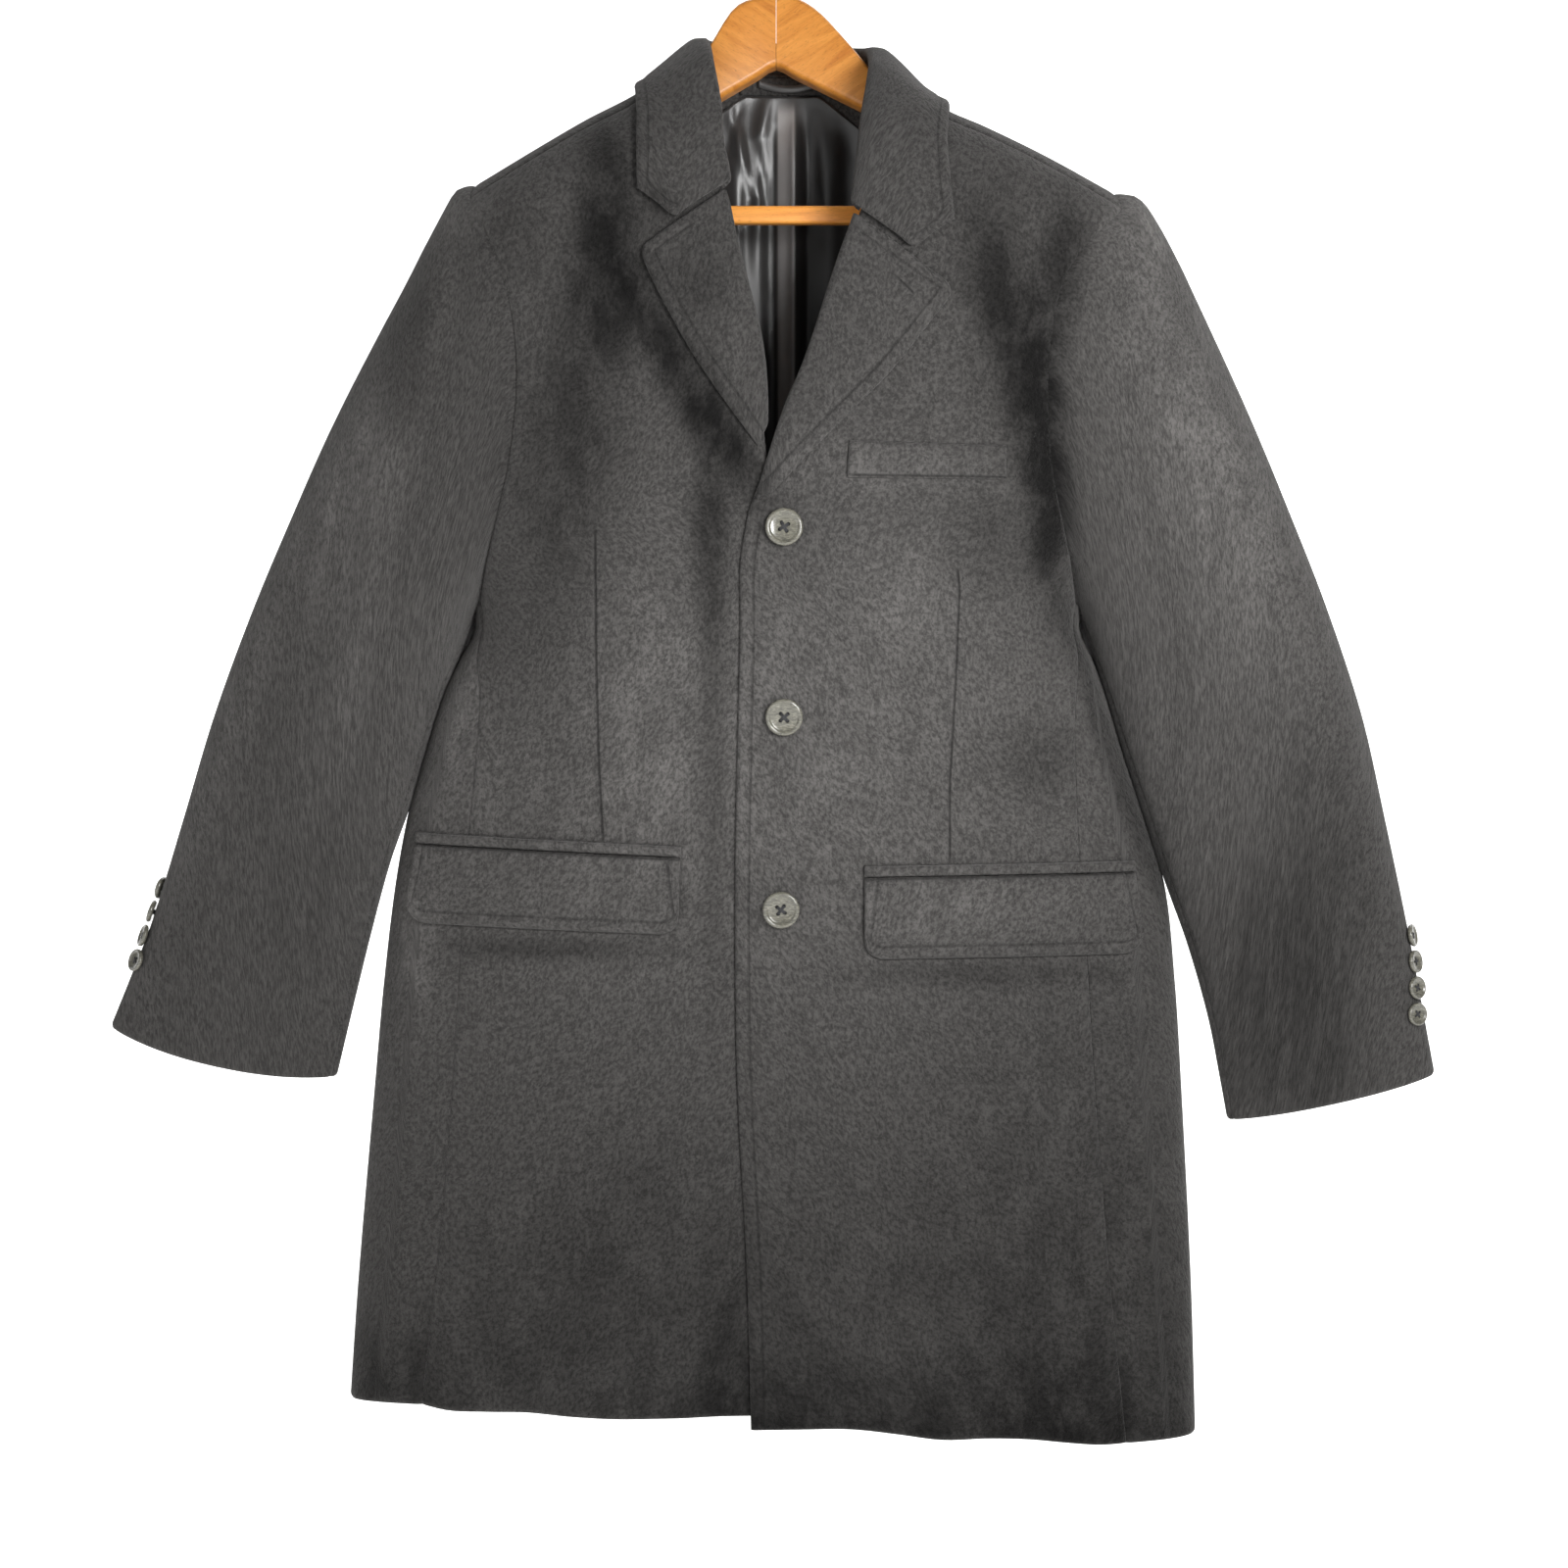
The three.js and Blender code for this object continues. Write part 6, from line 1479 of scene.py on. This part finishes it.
def loftedArm(name, low, high, finish):
    # rounded sections along the arm, its far end drawn in and closed
    keys = np.array(armSections, float)
    x = np.linspace(low, high, int((high - low) / hanger["step"]) + 1)
    edge = read(keys, x)
    top, bottom = edge[:, 1], edge[:, 2]
    half = hanger["thick"] / 2
    shape = bmesh.new()
    rings = []
    for i in range(len(x)):
        middle = float(armMiddle(np.array([x[i]]))[0])
        tall = (top[i] - bottom[i]) / 2
        curve = min(hanger["round"], tall * 0.6)
        tip = min(1, (min(abs(x[i] - end) for end in (keys[0, 0], keys[-1, 0])) + 1.5) / 8) ** 0.5
        ring = []
        for turn, cy, cz in ((0, 1, 1), (90, -1, 1), (180, -1, -1), (270, 1, -1)):
            for more in (0, 18, 36, 54, 72, 90):
                a = math.radians(turn + more)
                y = cy * (half - curve) + math.cos(a) * curve
                z = cz * (tall - curve) + math.sin(a) * curve
                point = (x[i], middle + y * tip, (top[i] + bottom[i]) / 2 + z * tip)
                ring.append(shape.verts.new(Vector(point) * mm))
        rings.append([shape.edges.new((a, b)) for a, b in zip(ring, ring[1:] + ring[:1])])
    for a, b in zip(rings, rings[1:]):
        bmesh.ops.bridge_loops(shape, edges=a + b)
    for ending in (rings[0], rings[-1]):
        bmesh.ops.contextual_create(shape, geom=ending)
    bmesh.ops.recalc_face_normals(shape, faces=shape.faces[:])
    piece = objectFrom(shape, name)
    split = piece.modifiers.new("edges", "EDGE_SPLIT")
    split.split_angle = math.radians(50)
    return dress(piece, finish, [])


gap = 0.15
woodRight = woodFinish("woodRight", math.radians(-32), (0.3, 0, 0))
woodLeft = woodFinish("woodLeft", math.radians(31), (1.7, 0.2, 0))
armRight = loftedArm("armWoodRight", -194, -gap, woodRight)
armLeft = loftedArm("armWoodLeft", gap, 194, woodLeft)
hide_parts("hanger_arm_right")
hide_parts("hanger_arm_left")

bar = hanger["bar"]
low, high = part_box("hanger_bar")
shape = bmesh.new()
bmesh.ops.create_cube(shape, size=1)
span = (high[0] - low[0] - 0.0004, bar["deep"] * mm, bar["high"] * mm)
bmesh.ops.scale(shape, vec=span, verts=shape.verts[:])
bmesh.ops.translate(
    shape, verts=shape.verts[:],
    vec=((low[0] + high[0]) / 2, bar["y"] * mm, (bar["top"] - bar["high"] / 2) * mm))
for vertex in shape.verts:
    if vertex.co.z < (bar["top"] - bar["high"] / 2) * mm:
        vertex.co.x += -0.008 if vertex.co.x > 0 else 0.008
bmesh.ops.bevel(
    shape, geom=shape.edges[:], offset=0.0022, segments=4, profile=0.5, affect="EDGES",
    material=-1)
barPiece = objectFrom(shape, "barWood")
dress(barPiece, woodFinish("woodBar", 0, (0.9, 0.4, 0.3), 1.35), ["hanger_bar"])

radius = hanger["inner"] + hanger["wire"] / 2
turns = np.radians(np.arange(hanger["from"], hanger["to"] - 1, -15))
path = [(radius * math.cos(a), -hanger["inner"] + radius * math.sin(a)) for a in turns]
neckX, neckDrop, neckLong = hanger["neck"]
lowest = -hanger["inner"] - radius
path += [(neckX, lowest - neckDrop), (0, lowest - neckLong), (0, -63.2)]
curve = bpy.data.curves.new("hookSteel", "CURVE")
curve.dimensions = "3D"
curve.bevel_depth, curve.bevel_resolution = hanger["wire"] / 2 * mm, 5
curve.resolution_u, curve.use_fill_caps = 6, True
spline = curve.splines.new("BEZIER")
spline.bezier_points.add(len(path) - 1)
for point, (x, z) in zip(spline.bezier_points, path):
    point.co = (x * mm, 0, z * mm)
    point.handle_left_type = point.handle_right_type = "AUTO"
wire = bpy.data.objects.new("hookCurve", curve)
bpy.context.scene.collection.objects.link(wire)
seen = wire.evaluated_get(bpy.context.evaluated_depsgraph_get())
hookMesh = bpy.data.meshes.new_from_object(seen)
bpy.data.objects.remove(wire)
hookMesh.polygons.foreach_set("use_smooth", [True] * len(hookMesh.polygons))
hook = bpy.data.objects.new("hookWire", hookMesh)
bpy.context.scene.collection.objects.link(hook)
dress(hook, steelFinish(), ["hanger_hook"])
print("hanger made")


# floor, backdrop, camera and studio light
studio = {
    "floor": -1.2, "wall": 3.4, "wide": 16,
    "camera": (0.00536, -1.7, -0.60135), "lens": 57.09,
    "lights": [  # place, aim, size, spread in degrees, watts
        ((0.5, -1.02, -0.34), (0.1, -0.05, -0.5), 0.5, 100, 4.8),
        ((-1.5, -1.9, -0.1), (0, 0, -0.5), 1.6, 150, 6.5),
        ((0.3, 0.9, 1.4), (0, 0.2, -0.3), 1.4, 180, 12),
    ],
}


def paleFinish(name, shade, glow):
    finish = Finish(name)
    here = finish.node("ShaderNodeTexCoord", None, None, "Object")
    cloud = finish.noise(here, 1.4, 2, 0.5)
    tone = finish.tint((shade, shade, shade * 0.995), cloud * 0.02 + 0.99)
    finish.set(Base_Color=tone, Roughness=0.9, Emission_Color=tone, Emission_Strength=glow)
    return finish.material


def plane(name, size, matrix, finish):
    shape = bmesh.new()
    bmesh.ops.create_grid(shape, x_segments=1, y_segments=1, size=size, matrix=matrix)
    piece = objectFrom(shape, name)
    piece.data.materials.append(finish)
    return piece


pale = paleFinish("studioPale", 0.9, 0.98)
half = studio["wide"] / 2
plane("studioFloor", half, Matrix.Translation((0, 0, studio["floor"])), pale)
back = Matrix.Translation((0, studio["wall"], studio["floor"] + half))
plane("studioBack", half, back @ Matrix.Rotation(math.radians(90), 4, "X"), pale)

for i, (place, aim, size, spread, watts) in enumerate(studio["lights"]):
    lamp = bpy.data.lights.new(f"softLight{i}", "AREA")
    lamp.shape, lamp.size, lamp.energy = "DISK", size, watts
    lamp.spread = math.radians(spread)
    holder = bpy.data.objects.new(lamp.name, lamp)
    holder.location = place
    way = Vector(aim) - Vector(place)
    holder.rotation_euler = way.to_track_quat("-Z", "Y").to_euler()
    bpy.context.scene.collection.objects.link(holder)

world = bpy.data.worlds.new("studioAir")
world.use_nodes = True
world.node_tree.nodes["Background"].inputs["Color"].default_value = (1, 1, 1, 1)
world.node_tree.nodes["Background"].inputs["Strength"].default_value = 0.16
bpy.context.scene.world = world

lens = bpy.data.cameras.new("studioCamera")
lens.sensor_width, lens.lens = 36, studio["lens"]
lens.clip_end = 60
camera = bpy.data.objects.new("studioCamera", lens)
camera.location = studio["camera"]
camera.rotation_euler = (math.radians(90), 0, 0)
bpy.context.scene.collection.objects.link(camera)
bpy.context.scene.camera = camera
bpy.context.scene.view_settings.view_transform = "Standard"
print("studio made")
